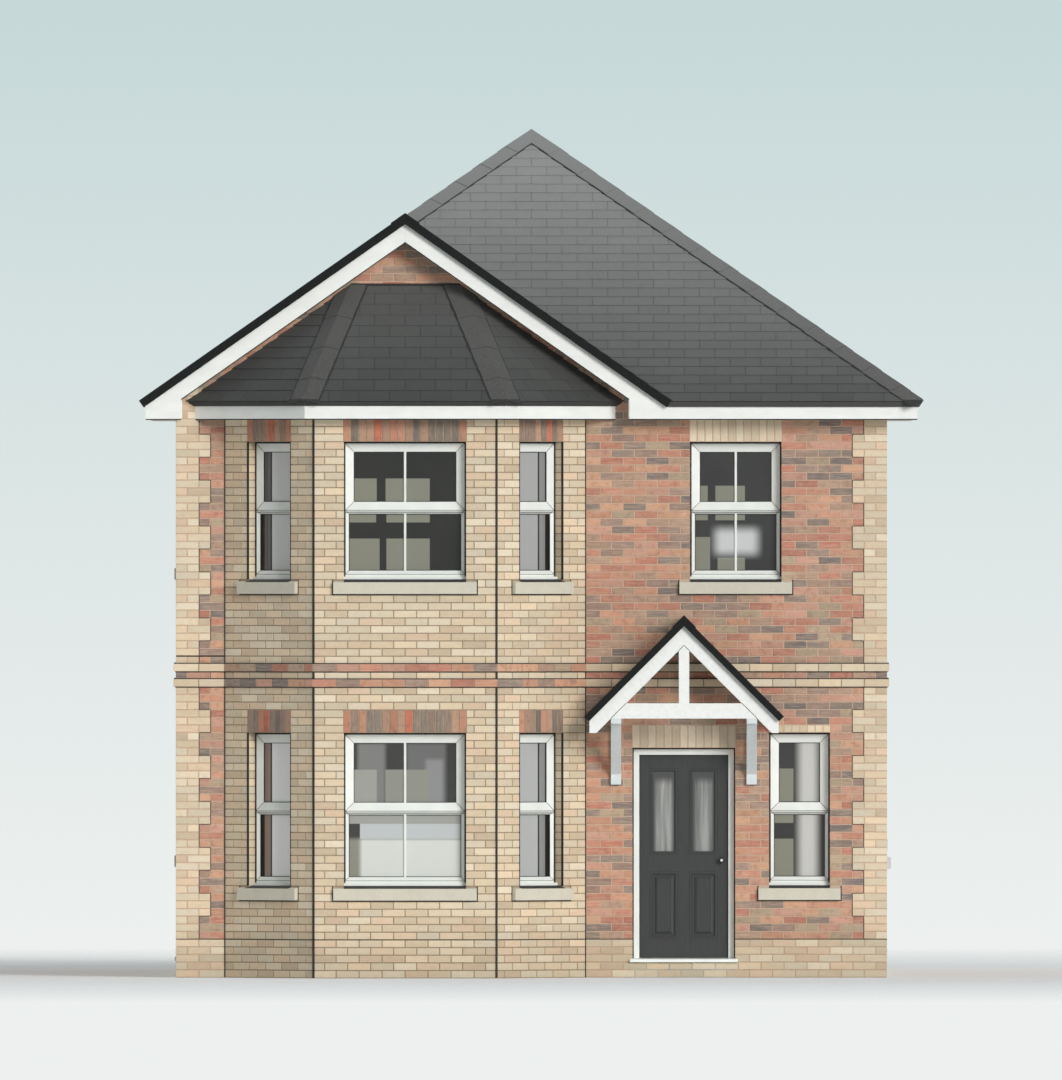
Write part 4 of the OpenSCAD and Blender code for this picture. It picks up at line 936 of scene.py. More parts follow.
from_left = slope_frame(-tile_x, 0, tile_level, -90, pitch)
from_right = slope_frame(tile_x, 0, tile_level, 90, pitch)
from_front = slope_frame(0, -tile_y, tile_level, 0, pitch)
from_rear = slope_frame(0, tile_y, tile_level, 180, pitch)
from_valley = slope_frame(valley_x, 0, tile_level, 90, pitch)
main_tiles = bmesh.new()
tile_slope(main_tiles, from_left, [
    (-tile_x, tile_y, "eaves"), (-tile_x, gable_back, "seam"), (bay_x, gable_back, "hip"),
    (0, -ridge_y, "ridge"), (0, ridge_y, "hip")])
tile_slope(main_tiles, from_front, [
    (valley_x, -tile_y, "eaves"), (tile_x, -tile_y, "hip"), (0, -ridge_y, "hip"),
    (bay_x, gable_back, "valley")])
tile_slope(main_tiles, from_right, [
    (tile_x, -tile_y, "eaves"), (tile_x, tile_y, "hip"), (0, ridge_y, "ridge"),
    (0, -ridge_y, "hip")])
tile_slope(main_tiles, from_rear, [
    (tile_x, tile_y, "eaves"), (-tile_x, tile_y, "hip"), (0, ridge_y, "hip")])
gable_tiles = bmesh.new()
tile_slope(gable_tiles, from_left, [
    (-tile_x, gable_back, "eaves"), (-tile_x, -tile_y, "verge"), (bay_x, -tile_y, "ridge"),
    (bay_x, gable_back, "seam")])
tile_slope(gable_tiles, from_valley, [
    (bay_x, -tile_y, "verge"), (valley_x, -tile_y, "valley"), (bay_x, gable_back, "ridge")])

bay_low_half = bay_half + bay_out * corner
bay_low_y = front_y - bay_depth - bay_out
bay_high_half = bay_low_half + (bay_low_y - front_y) * corner
bay_wide = bay_end + bay_out * math.sqrt(2)
bay_tiles = bmesh.new()
from_bay_front = slope_frame(bay_x, bay_low_y, bay_level, 0, bay_pitch)
from_bay_right = slope_frame(bay_x + bay_wide, front_y, bay_level, 45, bay_pitch)
from_bay_left = slope_frame(bay_x - bay_wide, front_y, bay_level, -45, bay_pitch)
tile_slope(bay_tiles, from_bay_front, [
    (bay_x - bay_low_half, bay_low_y, "eaves"), (bay_x + bay_low_half, bay_low_y, "hip"),
    (bay_x + bay_high_half, front_y, "wall"), (bay_x - bay_high_half, front_y, "hip")])
tile_slope(bay_tiles, from_bay_right, [
    (bay_x + bay_low_half, bay_low_y, "eaves"), (bay_x + bay_wide, front_y, "wall"),
    (bay_x + bay_high_half, front_y, "hip")])
tile_slope(bay_tiles, from_bay_left, [
    (bay_x - bay_wide, front_y, "eaves"), (bay_x - bay_low_half, bay_low_y, "hip"),
    (bay_x - bay_high_half, front_y, "wall")])


def tile_finish(name, base, paler, low, high):
    """Concrete tile: its own grey on each, painted paler from a low level to a high one as
    haze, sanded, with rain streaks."""
    mix = Mix(name)
    tone = mix.add("ShaderNodeAttribute", attribute_name="tone").outputs["Fac"]
    grey = mix.ramp(tone, [(0, paint(base - 4, base - 4, base - 6)), (0.5, paint(base, base, base - 2)),
                           (1, paint(base + 4, base + 4, base + 2))])
    colour = mix.blend(mix.rise(mix.axis("Z"), low, high), grey, paint(paler, paler, paler - 2))
    streak = mix.ramp(mix.noise(3, 4, 0.6), [(0.35, (0.93, 0.93, 0.93, 1)), (0.7, (1, 1, 1, 1))])
    colour = mix.blend(1.0, colour, streak, "MULTIPLY")
    mix.bump(mix.noise(380, 4, 0.7), 0.35, 0.0015)
    return mix.finish(colour, 0.82)


roof_foot, roof_top, bay_roof_top = 5.6, 8.3, 6.8
main_tile_finish = tile_finish("hazed_grey_tile", 73, 151, roof_foot, roof_top)
low_tile_finish = tile_finish("grey_tile", 62, 86, roof_foot, bay_roof_top)
piece("main_roof_tiles", main_tiles, main_tile_finish)
piece("gable_roof_tiles", gable_tiles, main_tile_finish)
piece("bay_roof_tiles", bay_tiles, low_tile_finish)
dress(main_tile_finish, "main_roof", "gable_roof")
dress(low_tile_finish, "bay_roof")

# Ridges and hips are covered with angled tiles 450 mm long, granular and grey brown, each
# lapped over the one below it and bedded in mortar.
cap_leg, cap_lift, cap_thick = 0.150, 0.007, 0.014
cap_lap, cap_step, cap_over = 0.04, 0.008, 0.12


def folded_run(shape, low, high, normals, leg, lift, thick, tiles, valley=False, past=cap_lap):
    """Angled sheets or tiles end to end along the meeting line of two slopes. Each runs on
    under the next, and the last one past the end of the line."""
    along = (high - low).normalized()
    up = (normals[0] + normals[1]).normalized()
    drop = cap_step if tiles > 1 else 0
    for i in range(tiles):
        start = low.lerp(high, i / tiles)
        end = low.lerp(high, (i + 1) / tiles) + along * (cap_lap if i < tiles - 1 else past)
        spine = start + up * (lift + drop)
        inner, outer = [], []
        for normal in normals:
            side = along.cross(normal).normalized()
            if (side.dot(Vector((normal.x, normal.y, 0))) < 0) != valley:
                side = -side
            inner.append(spine + side * leg)
            outer.append(spine + side * leg + normal * thick)
        crown = spine + up * thick / up.dot(normals[0])
        section = [spine, inner[0], outer[0], crown, outer[1], inner[1]]
        start_face = shape.faces.new([shape.verts.new(point) for point in section])
        run = bmesh.ops.extrude_face_region(shape, geom=[start_face])["geom"]
        far = [part for part in run if isinstance(part, bmesh.types.BMVert)]
        bmesh.ops.translate(shape, verts=far, vec=end - start - up * drop)


def cut_along(shape, path, back):
    """Cuts a mesh back along each line of a path on plan."""
    for a, b in zip(path, path[1:]):
        cut_back(shape, a, b, back)


left_n, right_n, front_n, rear_n = map(slope_normal, (from_left, from_right, from_front, from_rear))
valley_n, bay_n = slope_normal(from_valley), slope_normal(from_bay_front)
front_end, rear_end = on_slope(0, -ridge_y, from_right), on_slope(0, ridge_y, from_right)
# Each main hip: its foot and top, its two slopes, its tiles, and how far before its foot
# they begin.
hips = [(on_slope(tile_x, -tile_y, from_right), front_end, (front_n, right_n), 14, cap_over),
        (on_slope(tile_x, tile_y, from_right), rear_end, (right_n, rear_n), 14, cap_over),
        (on_slope(-tile_x, tile_y, from_left), rear_end, (left_n, rear_n), 14, cap_over),
        (on_slope(bay_x, gable_back, from_left), front_end, (left_n, front_n), 5, 0)]
bay_hips = [(on_slope(bay_x + side * bay_low_half, bay_low_y, from_bay_front),
             on_slope(bay_x + side * bay_high_half, front_y, from_bay_front), (bay_n, slope_normal(splay)))
            for side, splay in ((-1, from_bay_left), (1, from_bay_right))]


def hip_run(shape, low, high, normals, leg, lift, thick, tiles):
    """The run over a main hip, mitred on the ridge line against the hip across."""
    made = bmesh.new()
    folded_run(made, low, high, normals, leg, lift, thick, tiles, past=0.004)
    cut_back(made, (0, 0), (0, -math.copysign(1, low.x)), 0)
    pour(made, shape)


roof_plan = [(tile_x, -tile_y), (tile_x, tile_y), (-tile_x, tile_y), (-tile_x, -tile_y), (tile_x, -tile_y)]
bay_plan = [(bay_x - bay_wide, front_y), (bay_x - bay_low_half, bay_low_y),
            (bay_x + bay_low_half, bay_low_y), (bay_x + bay_wide, front_y)]
past_tiles, sunk_ridge, under_hips = 0.004, 0.006, 0.1
main_caps = bmesh.new()
for low, high, pair, tiles, before in hips:
    hip_run(main_caps, low + (low - high).normalized() * before, high, pair,
            cap_leg, cap_lift, cap_thick, tiles)
folded_run(main_caps, front_end, rear_end, (left_n, right_n), cap_leg, cap_lift - sunk_ridge,
           cap_thick, 4, past=0)
cut_along(main_caps, roof_plan, -past_tiles)
gable_cap = bmesh.new()
verge_end = on_slope(bay_x, -tile_y, from_left)
folded_run(gable_cap, verge_end, on_slope(bay_x, gable_back + under_hips, from_left),
           (left_n, valley_n), cap_leg, cap_lift, cap_thick, 6)
bay_caps = bmesh.new()
for low, high, pair in bay_hips:
    folded_run(bay_caps, low + (low - high).normalized() * cap_over, high, pair,
               cap_leg, cap_lift, cap_thick, 4)
cut_along(bay_caps, bay_plan, -past_tiles)
cut_along(bay_caps, [bay_plan[-1], bay_plan[0]], 0)


def cap_finish(name, base, paler, low, high):
    """Ridge tile: coarse grains of grey and brown under a thin dark glaze."""
    mix = Mix(name)
    grains = mix.ramp(mix.noise(150, 5, 0.8), [
        (0.42, paint(base - 26, base - 28, base - 29)), (0.5, paint(base, base - 2, base - 4)),
        (0.58, paint(base + 28, base + 25, base + 22))])
    # Painted haze: the caps are paler higher up.
    haze_share = mix.math("MULTIPLY", mix.rise(mix.axis("Z"), low, high), 0.85)
    colour = mix.blend(haze_share, grains, paint(paler, paler, paler - 2))
    mix.bump(mix.noise(300, 4, 0.8), 0.5, 0.002)
    return mix.finish(colour, 0.85)


main_cap_finish = cap_finish("hazed_ridge_tile", 82, 142, roof_foot, roof_top)
low_cap_finish = cap_finish("ridge_tile", 72, 84, roof_foot, bay_roof_top)
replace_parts(piece("main_ridge_tiles", main_caps, main_cap_finish), "main_ridge_caps")
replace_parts(piece("gable_ridge_tiles", gable_cap, main_cap_finish), "gable_ridge_cap")
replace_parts(piece("bay_hip_tiles", bay_caps, low_cap_finish), "bay_hip_caps")

# The caps are bedded on dark mortar, which shows along their edges and over the bay roof.
# The verges are closed with black plastic trim over the tile ends, and the gable ridge
# with an end cover.
bedding = bmesh.new()
bed, bay_bed, bed_lift = cap_leg + 0.007, cap_leg + 0.013, 0.004
bed_thick, bay_bed_thick, bed_short = 0.0155, 0.0165, 0.01
apron_out, apron_high = 0.012, 0.030
for low, high, pair, _, _ in hips:
    hip_run(bedding, low, high, pair, bed, bed_lift, bed_thick, 1)
for low, high, pair in bay_hips:
    folded_run(bedding, low, high, pair, bay_bed, bed_lift, bay_bed_thick, 1)
cut_along(bedding, roof_plan[:4], bed_short)
top_of_bay = street.place @ Matrix.Translation((bay_x, 0, bay_hips[0][1].z))
bar(bedding, top_of_bay, -bay_high_half, bay_high_half, -apron_out, bed_short, 0.0, apron_high)
piece("cap_bedding", bedding,
      mottled("dark_bedding_mortar", (55, 4, 0.6), (34, 34, 33), (52, 51, 49), 0.92))

trim = bmesh.new()
gable_rise = (bay_x + tile_x) / math.cos(pitch)
trim_left, trim_right, trim_foot, trim_top, trim_arris = 0.009, 0.007, -0.004, 0.0185, 0.002
flange_wide, flange_low, flange_top = 0.045, 0.0165, 0.0195
for frame_of, edge, out in ((from_left, tile_y, trim_left), (from_valley, -tile_y, -trim_right)):
    low, high = sorted((edge - out, edge + out))
    bar(trim, frame_of, low, high, trim_foot, gable_rise, -covering - 0.004, trim_top, trim_arris)
    low, high = sorted((edge - math.copysign(flange_wide, edge), edge + out))
    bar(trim, frame_of, low, high, trim_foot, gable_rise, flange_low, flange_top)
end_cover_out, end_cover_deep, end_cover_thick = 0.011, Vector((0, 0.03, 0)), 0.029
verge_point = on_slope(bay_x, -tile_y - end_cover_out, from_left)
folded_run(trim, verge_point, verge_point + end_cover_deep, (left_n, valley_n),
           cap_leg + 0.004, 0, end_cover_thick, 1, past=0)
verge_trim = mottled("black_verge_trim", (30, 3), (22, 23, 23), (30, 31, 31), 0.8, Specular_IOR_Level=0.15)
piece("gable_verge_trim", trim, verge_trim)

# The valley beside the gable is open: a sheet of lead dressed over boards, with the tiles
# cut back along it.
lead_wide, lead_lift, lead_thick, lead_short = 0.16, 0.001, 0.003, 0.01
valley = bmesh.new()
folded_run(valley, on_slope(valley_x, -tile_y, from_front), on_slope(bay_x, gable_back, from_front),
           (front_n, valley_n), lead_wide, lead_lift, lead_thick, 1, valley=True)
cut_back(valley, (-tile_x, -tile_y), (tile_x, -tile_y), lead_short)
cut_back(valley, (bay_x, 0), (bay_x, -tile_y), lead_short)
lead_finish = mottled("dressed_lead", (14, 4, 0.6), (66, 69, 71), (88, 91, 92), 0.55,
                      relief=((9, 3, 0.5), 0.3, 0.004), Metallic=0.3)
piece("valley_lead", valley, lead_finish)

# Bargeboards, fascias and soffits are white plastic roofline boards, nailed to the rafter
# ends. A thin black vent strip runs along the foot of the boards, before the soffits; its
# black is also painted shade, the dark line of shade under the boards.
mix = Mix("roofline_board")
weather = mix.ramp(mix.noise(3.5, 4, 0.6, mix.scaled((1, 1, 2.5))), [
    (0.35, paint(231, 232, 226)), (0.7, paint(240, 241, 235))])
mix.bump(mix.noise(420, 2), 0.05, 0.0005)
dress(mix.finish(weather, 0.42), "bargeboards", "fascias", "soffits", "verge_soffit",
      "bay_fascia", "bay_soffit")
board_low, board_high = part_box("bargeboards")
fascia_x, board_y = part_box("fascias")[1].x, -board_low.y
strip_high, strip_front, strip_back, strip_short = 0.011, 0.003, 0.020, 0.002
boards_deep, boxed_end = covering + 0.145, 0.3485
strips = bmesh.new()
sunk = boards_deep * math.sin(pitch)
strip_foot = (boxed_end + tile_x - fascia_x - sunk) / math.cos(pitch)
strip_top = (bay_x + tile_x - sunk) / math.cos(pitch) + boards_deep * math.tan(pitch)
for frame_of, side in ((from_left, 1), (from_valley, -1)):
    low, high = sorted((side * (board_y - strip_back), side * (board_y - strip_front)))
    bar(strips, frame_of, low, high, strip_foot, strip_top, -boards_deep - strip_high, -boards_deep)
board_face = Matrix.Translation((0, -board_y, eaves))
for x0, x1 in ((board_low.x + strip_short, board_low.x + boxed_end),
               (board_high.x - boxed_end, fascia_x - strip_short)):
    bar(strips, board_face, x0, x1, strip_front, strip_back, -strip_high, strip_short)
bay_board = front_y - bay_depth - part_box("bay_fascia")[0].y
mitre = bay_board * corner
for face, half, left_out, right_out in (
        (bay_front, bay_half, mitre, mitre), (bay_right, splay_half, mitre, bay_board),
        (bay_left, splay_half, bay_board, mitre)):
    bar(strips, face.place @ Matrix.Translation((0, 0, eaves)), -half - left_out, half + right_out,
        strip_front - bay_board, strip_back - bay_board, -strip_high, strip_short)
# The black strips are partly painted shade under the boards.
piece("board_vent_strips", strips, mottled("black_vent_strip", (30, 3), (24, 25, 25), (34, 35, 35), 0.7))

# The panes are clear float glass, dark from outside. Painted into their colour are
# reflections of the street: pale house fronts with dark gaps between them, and the brick
# jambs in the splays. Behind the lower lights of the bay and the small window are pale
# blinds and a curtain.


def between(mix, value, low, high, soft):
    """1 inside a span and 0 outside it, with soft ends."""
    rises = [mix.rise(value, at - soft, at + soft, kind="SMOOTHSTEP") for at in (low, high)]
    return mix.math("SUBTRACT", *rises)


def glass_finish(name, base, shapes):
    """Dark glass with pale shapes, painted reflections among them: (middle, x0, x1, z0, z1, colour, softness)
    boxes.
    """
    mix = Mix(name)
    dark = paint(*(0.9 * part for part in base))
    colour = mix.ramp(mix.noise(1.6, 2), [(0.35, dark), (0.65, paint(*base))])
    for middle, x0, x1, z0, z1, tint, soft in shapes:
        across = between(mix, mix.axis("X"), middle + x0, middle + x1, soft)
        up = between(mix, mix.axis("Z"), z0, z1, soft)
        colour = mix.blend(mix.math("MULTIPLY", across, up), colour, paint(*tint))
    mix.bump(mix.noise(2.5, 1), 0.02, 0.002)
    return mix.finish(colour, 0.05, Specular_IOR_Level=0.3)


street_reflection, side_reflection, deep = (133, 133, 119), (136, 136, 134), (28, 28, 28)
crisp, hazy = 0.004, 0.03
# Painted reflections in the splay panes. The pale parts in the left splay are paler still: painted light
# against the shade of the reveals.
splay_reflections = []
for low, high, jamb, left_splay_reflection, right_splay_reflection in (
        (ground_sill, ground_head, (150, 130, 118), (240, 240, 238), (172, 173, 171)),
        (first_sill, first_head, (104, 101, 98), (212, 212, 210), (164, 164, 162))):
    splay_reflections += [
        (0, -2.70, -2.30, low, high, deep, crisp), (0, -2.613, -2.555, low, high, jamb, crisp),
        (0, -2.541, -2.30, low, high, left_splay_reflection, crisp), (0, -0.150, 0.20, low, high, deep, crisp),
        (0, -0.150, 0.062, low, high, right_splay_reflection, crisp), (0, 0.076, 0.133, low, high, side_reflection, crisp)]
bay_first_glass = glass_finish("bay_glass_upstairs", (50, 50, 48), splay_reflections + [
    (bay_x, -0.60, -0.277, 4.666, 4.890, street_reflection, crisp),
    (bay_x, -0.190, 0.242, 4.666, 4.890, street_reflection, crisp),
    (bay_x, -0.60, -0.283, 4.460, 4.600, street_reflection, crisp),
    (bay_x, -0.182, 0.242, 4.460, 4.600, street_reflection, crisp),
    (bay_x, -0.60, -0.249, 3.9, 4.302, street_reflection, crisp),
    (bay_x, -0.182, 0.242, 3.9, 4.302, street_reflection, crisp)])
bay_ground_glass = glass_finish("bay_glass_downstairs", (66, 66, 64), splay_reflections + [
    (bay_x, -0.464, -0.193, 1.65, 2.298, (126, 126, 124), hazy),
    (bay_x, 0.016, 0.400, 1.65, 2.298, (108, 108, 107), hazy),
    (bay_x, 0.202, 0.371, 1.65, 2.140, (140, 140, 140), hazy),
    (bay_x, -0.60, -0.276, 1.65, 2.040, (156, 156, 148), crisp),
    (bay_x, -0.193, 0.242, 1.65, 2.040, (142, 142, 132), crisp),
    (bay_x, -0.60, -0.441, 0.9, 1.364, (138, 138, 126), hazy),
    (bay_x, -0.60, 0.60, 1.511, 1.62, (158, 159, 152), crisp),
    (bay_x, -0.441, 0.60, 0.9, 1.364, (210, 212, 206), hazy),
    (bay_x, -0.441, 0.60, 1.364, 1.511, (188, 192, 192), crisp)])
front_window_glass = glass_finish("street_glass", (64, 64, 63), [
    (upper_x, -0.45, -0.274, 4.482, 4.820, street_reflection, crisp),
    (upper_x, -0.199, 0.090, 4.482, 4.820, street_reflection, crisp),
    (upper_x, -0.45, -0.251, 3.9, 4.317, street_reflection, crisp),
    (upper_x, -0.177, 0.090, 3.9, 4.114, street_reflection, crisp),
    (upper_x, -0.200, 0.215, 4.150, 4.395, (200, 201, 200), 0.07),
    (right_x, -0.30, -0.059, 1.514, 2.047, street_reflection, crisp),
    (right_x, -0.30, -0.059, 0.9, 1.359, street_reflection, crisp),
    (right_x, -0.005, 0.175, 0.9, 2.4, (196, 196, 189), 0.06)])
dress(bay_first_glass, "bay_glass_first")
dress(bay_ground_glass, "bay_glass_ground")
dress(front_window_glass, "front_glass")
rear_shapes = [(side * rear_x, side * 0.1, side * 0.1 + 0.35, low, low + 0.5, street_reflection, hazy)
               for side in (-1, 1) for low in (1.0, 4.0)]
dress(glass_finish("garden_glass", (58, 59, 57), rear_shapes), "rear_glass")

# The front door is a painted timber leaf in a white frame: two raised panels under two
# panes of obscure glass, planted mouldings, a turned knob and three steel butt hinges.
leaf_low, leaf_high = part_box("door_leaf")
leaf_middle, leaf_floor = (leaf_low.x + leaf_high.x) / 2, leaf_low.z
planted = 0.006
leaf_face, leaf_back = leaf_low.y + planted, leaf_high.y - planted
panel_middle, panel_wide, moulding = 0.194, 0.268, 0.022
raised, glazed = (0.188, 0.654), (1.018, 0.834)
mix = Mix("grey_door_paint")
brush = mix.noise(1.0, 3, 0.5, mix.scaled((160, 160, 5)))
paint_colour = mix.ramp(brush, [(0.35, paint(49, 50, 49)), (0.65, paint(55, 56, 55))])
mix.bump(brush, 0.12, 0.0006)
door_paint = mix.finish(paint_colour, 0.38, Specular_IOR_Level=0.4)
dress(door_paint, "door_leaf")
# The reeded glass is painted with light, palest in the middle of each pane, and less so by the knob.
mix = Mix("obscure_glass")
reeds = mix.noise(1.0, 3, 0.5, mix.scaled((26, 26, 1.2)))
pale = mix.ramp(reeds, [
    (0.34, paint(122, 122, 119)), (0.5, paint(146, 147, 144)), (0.66, paint(168, 170, 167))])
glass_low, glass_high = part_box("door_glass")
glow_left, glow_right, glow_below, glow_top = 0.075, 0.078, 0.2, 0.11
painted_light_patches = []
for middle in (leaf_middle - panel_middle, leaf_middle + panel_middle):
    across = between(mix, mix.axis("X"), middle - glow_left, middle + glow_right, 0.03)
    up = between(mix, mix.axis("Z"), glass_low.z - glow_below, glass_high.z - glow_top, 0.05)
    painted_light_patches.append(mix.math("MULTIPLY", across, up))
glow = mix.math("ADD", painted_light_patches[0], mix.math("MULTIPLY", painted_light_patches[1], 0.78))
mix.bump(mix.noise(90, 2), 0.35, 0.002)
dress(mix.finish(mix.blend(glow, paint(78, 79, 78), pale), 0.22, Specular_IOR_Level=0.3), "door_glass")

# Dark shadow gaps part the mouldings from the leaf and the panels, on both its faces, and
# a black seal runs round the frame in front of the leaf.
gaps, seal = bmesh.new(), bmesh.new()
outer_gap = box_profile(-0.003, 0.0015, -0.0015, 0.003)
inner_gap = box_profile(-0.0035, 0.0015, -0.0068, -0.002)
field_gap = box_profile(-0.002, 0.002, -0.0006, 0.003)
inward = Matrix.Translation((leaf_middle, leaf_back, leaf_floor)) @ Matrix.Rotation(math.pi, 4, "Z")
outward = Matrix.Translation((leaf_middle, leaf_face, leaf_floor))
for place in (outward, inward):
    for side in (-1, 1):
        for panel in (raised, glazed):
            bottom, high = panel
            at = place @ Matrix.Translation((side * panel_middle, 0, bottom))
            half = panel_wide / 2
            ring(gaps, at, half, 0, high, outer_gap)
            ring(gaps, at, half - moulding, moulding, high - moulding, inner_gap)
            if panel is raised:
                field = 3 * moulding
                ring(gaps, at, half - field, field, high - field, field_gap)
piece("door_moulding_gaps", gaps, mottled("shadow_gap", (60, 3), (26, 27, 26), (36, 37, 36), 0.7),
      body="front_door")
frame_sight, seal_below = 0.068, 0.02
ring(seal, door_place, door_half - frame_sight, door_low.z - seal_below, door_head - frame_sight,
     box_profile(-0.0005, 0.005, reveal + 0.008, reveal + 0.0255))
piece("door_seal", seal, mottled("door_seal", (80, 3), (24, 24, 24), (38, 38, 38), 0.6))
dress(mottled("door_frame_board", (5, 3), (231, 235, 229), (238, 242, 236), 0.36, (0.35, 0.7),
              ((500, 2), 0.05, 0.0004)), "door_frame", "door_threshold")


def turned_knob(shape, profile):
    """A knob turned from its profile of distances out and radii, towards the street."""
    points = [shape.verts.new((radius, -out, 0)) for out, radius in profile]
    edges = [shape.edges.new(pair) for pair in zip(points, points[1:])]
    bmesh.ops.spin(shape, geom=points + edges, cent=(0, 0, 0), axis=(0, 1, 0),
                   angle=math.tau, steps=40, use_merge=True)
    bmesh.ops.remove_doubles(shape, verts=shape.verts, dist=1e-6)
    for face in shape.faces:
        face.smooth = True


knob_low, knob_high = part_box("door_knob")
knob_at = Matrix.Translation(((knob_low.x + knob_high.x) / 2, leaf_face, (knob_low.z + knob_high.z) / 2))
spindle = [(-0.022, 0), (-0.022, 0.007), (0, 0.007)]
rose = [(0, 0.0285), (0.004, 0.0285), (0.0055, 0.026), (0.0058, 0.014)]
neck = [(0.012, 0.011), (0.030, 0.011)]
bulb = [(0.036, 0.020), (0.044, 0.028), (0.050, 0.0295), (0.057, 0.027), (0.061, 0.021), (0.062, 0.012),
        (0.0605, 0)]
knob = bmesh.new()
turned_knob(knob, spindle + rose + neck + bulb)
both = bmesh.ops.duplicate(knob, geom=knob.verts[:] + knob.edges[:] + knob.faces[:])["geom"]
other = [part for part in both if isinstance(part, bmesh.types.BMVert)]
about = Matrix.Translation((0, leaf_back - leaf_face, 0)) @ Matrix.Rotation(math.pi, 4, "Z")
bmesh.ops.transform(knob, matrix=about, verts=other)
bmesh.ops.transform(knob, matrix=knob_at, verts=knob.verts)
mix = Mix("black_knob_bright_cylinder")
about_knob = mix.add("ShaderNodeVectorMath", operation="DISTANCE")
flat_place = mix.scaled((1, 0, 1))
mix.join(flat_place, about_knob.inputs[0])
about_knob.inputs[1].default_value = (knob_at.translation.x, 0, knob_at.translation.z)
cylinder_radius = 0.0125
bright = mix.math("LESS_THAN", about_knob.outputs["Value"], cylinder_radius)
knob_colour = mix.blend(bright, mix.ramp(mix.noise(80), [
    (0.3, paint(26, 26, 26)), (0.7, paint(40, 40, 40))]), paint(226, 226, 224))
mix.join(mix.math("MULTIPLY", bright, 0.6), mix.shader.inputs["Metallic"])
knob_finish = mix.finish(knob_colour, 0.3)
satin_steel = mottled("satin_steel", (70, 4, 0.6), (168, 169, 170), (196, 197, 198), 0.28, (0.35, 0.7),
                      ((600, 3), 0.1, 0.0003), Metallic=1.0)
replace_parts(piece("turned_knobs", knob, knob_finish, body="front_door"), "door_knob")
dress(satin_steel, "door_hinge_pins", "door_hinge_leaves")

# The canopy is a planed softwood truss on gallows brackets, primed and painted white, under
# the same tiles as the house, with a black trimmed verge and an angled ridge.
wood_grain, planed = (22, 4, 0.6), ((140, 3, 0.6), 0.15, 0.0008)
dress(mottled("white_timber", wood_grain, (227, 228, 223), (237, 238, 233), 0.5, relief=planed),
      "canopy_rafters", "canopy_tie_beam", "canopy_king_post")
# The brackets under it are of the same white wood; their pale blue grey is painted shade under the canopy.
dress(mottled("shaded_white_timber", wood_grain, (205, 212, 213), (213, 220, 221), 0.5, relief=planed),
      "canopy_brackets")
# Black joints show at the shoulders of the truss.
canopy_pitch = math.radians(45)
beam_low, beam_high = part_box("canopy_tie_beam")
post_low, post_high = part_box("canopy_king_post")
half_beam, beam_deep = (beam_high.x - beam_low.x) / 2, beam_high.z - beam_low.z
joint_half, joint_out, joint_in, post_shoulder = 0.003, 0.001, 0.004, 0.051
shoulders = bmesh.new()


def truss_joint(x, y, z, turned, rise):
    """A dark line on the face of the truss, from a point, that rises by so much."""
    place = Matrix.Translation((x, y, z)) @ Matrix.Rotation(turned, 4, "Y")
    bar(shoulders, place, -joint_half, joint_half, -joint_out, joint_in, 0, rise / math.cos(canopy_pitch))


for side in (-1, 1):
    truss_joint(canopy_x + side * half_beam, beam_low.y, beam_low.z, -side * canopy_pitch, beam_deep)
    truss_joint(canopy_x, post_low.y, post_high.z, side * 3 * canopy_pitch, post_shoulder)
piece("truss_joints", shoulders, mottled("truss_joint", (90, 3), (40, 40, 38), (58, 57, 55), 0.8))

# Its tiles, end trims and ridge are those of the house, in small.
canopy_half, canopy_front, canopy_covering = (canopy_high.x - canopy_low.x) / 2, canopy_low.y, 0.045
canopy_level = canopy_low.z + canopy_covering * math.cos(canopy_pitch)
canopy_left = slope_frame(canopy_x - canopy_half, front_y, canopy_level, -90, canopy_pitch)
canopy_right = slope_frame(canopy_x + canopy_half, front_y, canopy_level, 90, canopy_pitch)
canopy_tiles = bmesh.new()
tile_slope(canopy_tiles, canopy_left, [
    (canopy_x - canopy_half, front_y, "eaves"), (canopy_x - canopy_half, canopy_front, "verge"),
    (canopy_x, canopy_front, "ridge"), (canopy_x, front_y, "wall")])
tile_slope(canopy_tiles, canopy_right, [
    (canopy_x + canopy_half, canopy_front, "eaves"), (canopy_x + canopy_half, front_y, "wall"),
    (canopy_x, front_y, "ridge"), (canopy_x, canopy_front, "verge")])
canopy_tile_finish = tile_finish("dark_canopy_tile", 46, 52, 2.4, 3.5)
piece("canopy_tiles", canopy_tiles, canopy_tile_finish)
dress(canopy_tile_finish, "canopy_roof")
canopy_trim, canopy_rise = bmesh.new(), canopy_half / math.cos(canopy_pitch)
for frame_of, side, out in ((canopy_left, 1, trim_left), (canopy_right, -1, trim_right)):
    edge = side * (front_y - canopy_front)
    low, high = sorted((edge - side * trim_left, edge + side * out))
    bar(canopy_trim, frame_of, low, high, trim_foot, canopy_rise, -canopy_covering - 0.003,
        trim_top, trim_arris)
canopy_leg, ridge_short = 0.135, 0.04
canopy_pair = (slope_normal(canopy_left), slope_normal(canopy_right))
cap_point = on_slope(canopy_x, canopy_front - end_cover_out, canopy_left)
folded_run(canopy_trim, cap_point, cap_point + end_cover_deep, canopy_pair,
           canopy_leg + 0.004, 0, end_cover_thick, 1, past=0)
piece("canopy_verge_trim", canopy_trim, verge_trim)
canopy_cap = bmesh.new()
folded_run(canopy_cap, on_slope(canopy_x, canopy_front, canopy_left),
           on_slope(canopy_x, front_y - ridge_short, canopy_left), canopy_pair,
           canopy_leg, cap_lift, cap_thick, 2)
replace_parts(piece("canopy_ridge_tiles", canopy_cap, low_cap_finish), "canopy_ridge_cap")

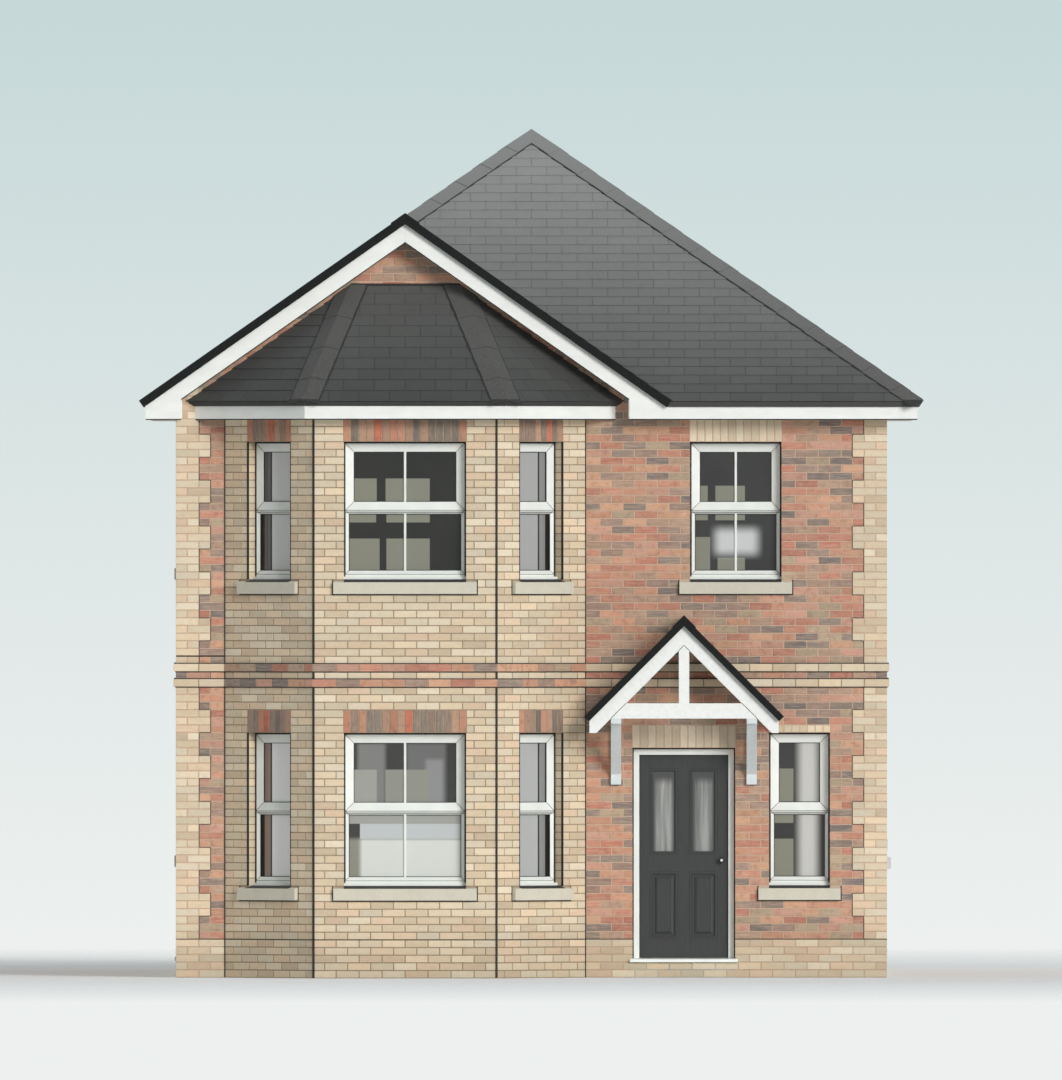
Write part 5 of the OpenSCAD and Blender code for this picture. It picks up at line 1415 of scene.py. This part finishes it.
# The vents are moulded plastic hoods over ducts through the side walls, each with a
# flange against the bricks and louvre slots in its front. A small air brick with three
# slots sits low in the left wall.
vent_places = ((right_side, front_y + 2.180, 1.114), (right_side, front_y + 6.280, 1.263),
               (left_side, -front_y - 5.180, 1.114), (left_side, -front_y - 5.180, 3.961))
airbrick_x, airbrick_z = -front_y - 1.780, 0.169
flange_half, flange_rise, flange_out, flange_arris = 0.094, 0.080, 0.012, 0.002
slot_half, slot_high, slot_pitch, first_slot = 0.066, 0.011, 0.026, -0.045
hood_out, airbrick_out, airbrick_pitch, airbrick_slot = 0.0565, 0.0262, 0.013, 0.003
flanges, slots = bmesh.new(), bmesh.new()
for face, x, level in vent_places:
    place = face.place @ Matrix.Translation((x, 0, level))
    bar(flanges, place, -flange_half, flange_half, -flange_out, 0.01, -flange_rise, flange_rise, flange_arris)
    for step in range(4):
        z = first_slot + step * slot_pitch
        bar(slots, place, -slot_half, slot_half, -hood_out, -0.05, z, z + slot_high)
place = left_side.place @ Matrix.Translation((airbrick_x, 0, airbrick_z))
for step in (-1, 0, 1):
    z = step * airbrick_pitch
    bar(slots, place, -slot_half, slot_half, -airbrick_out, -0.02, z - airbrick_slot, z + airbrick_slot)
vent_plastic = mottled("vent_plastic", (12, 4), (196, 199, 198), (212, 215, 214), 0.5, (0.35, 0.7),
                       ((420, 2), 0.08, 0.0005))
dress(vent_plastic, "side_vents")
piece("vent_flanges", flanges, vent_plastic)
# The slots are dark bars on the hood fronts: their dark is painted shade in the louvre openings.
piece("vent_slots", slots, mottled("vent_slots", (50, 3), (30, 31, 31), (46, 47, 47), 0.8))

# Indoors there is a power floated concrete slab, softwood boards nailed down on the first
# floor, and a ceiling of skimmed plasterboard under the loft.
dress(mottled("floated_slab", (5, 5, 0.6), (150, 148, 143), (172, 170, 164), 0.8, (0.35, 0.65),
              ((120, 4, 0.6), 0.2, 0.001)), "ground_floor_slab")
mix = Mix("floor_boards")
brick_node = mix.add("ShaderNodeTexBrick", offset=0.5)
for name, value in (("Scale", 1.0), ("Brick Width", 2.4), ("Row Height", 0.12), ("Mortar Size", 0.0015),
                    ("Color1", paint(186, 150, 108)), ("Color2", paint(168, 130, 90)),
                    ("Mortar", paint(70, 52, 36))):
    brick_node.inputs[name].default_value = value
mix.join(mix.place, brick_node.inputs["Vector"])
wood_run = (3, 60, 3)
lines_in_wood = mix.ramp(mix.noise(1.0, 5, 0.6, mix.scaled(wood_run)), [
    (0.3, (0.82, 0.82, 0.82, 1)), (0.7, (1, 1, 1, 1))])
mix.bump(mix.noise(1.0, 4, 0.6, mix.scaled(wood_run)), 0.15, 0.001)
dress(mix.finish(mix.blend(1.0, brick_node.outputs["Color"], lines_in_wood, "MULTIPLY"), 0.55),
      "first_floor")
dress(mottled("ceiling_plaster", (4, 4), (222, 220, 214), (232, 230, 225), 0.9, (0.35, 0.65),
              ((90, 3), 0.1, 0.0008)), "loft_ceiling")
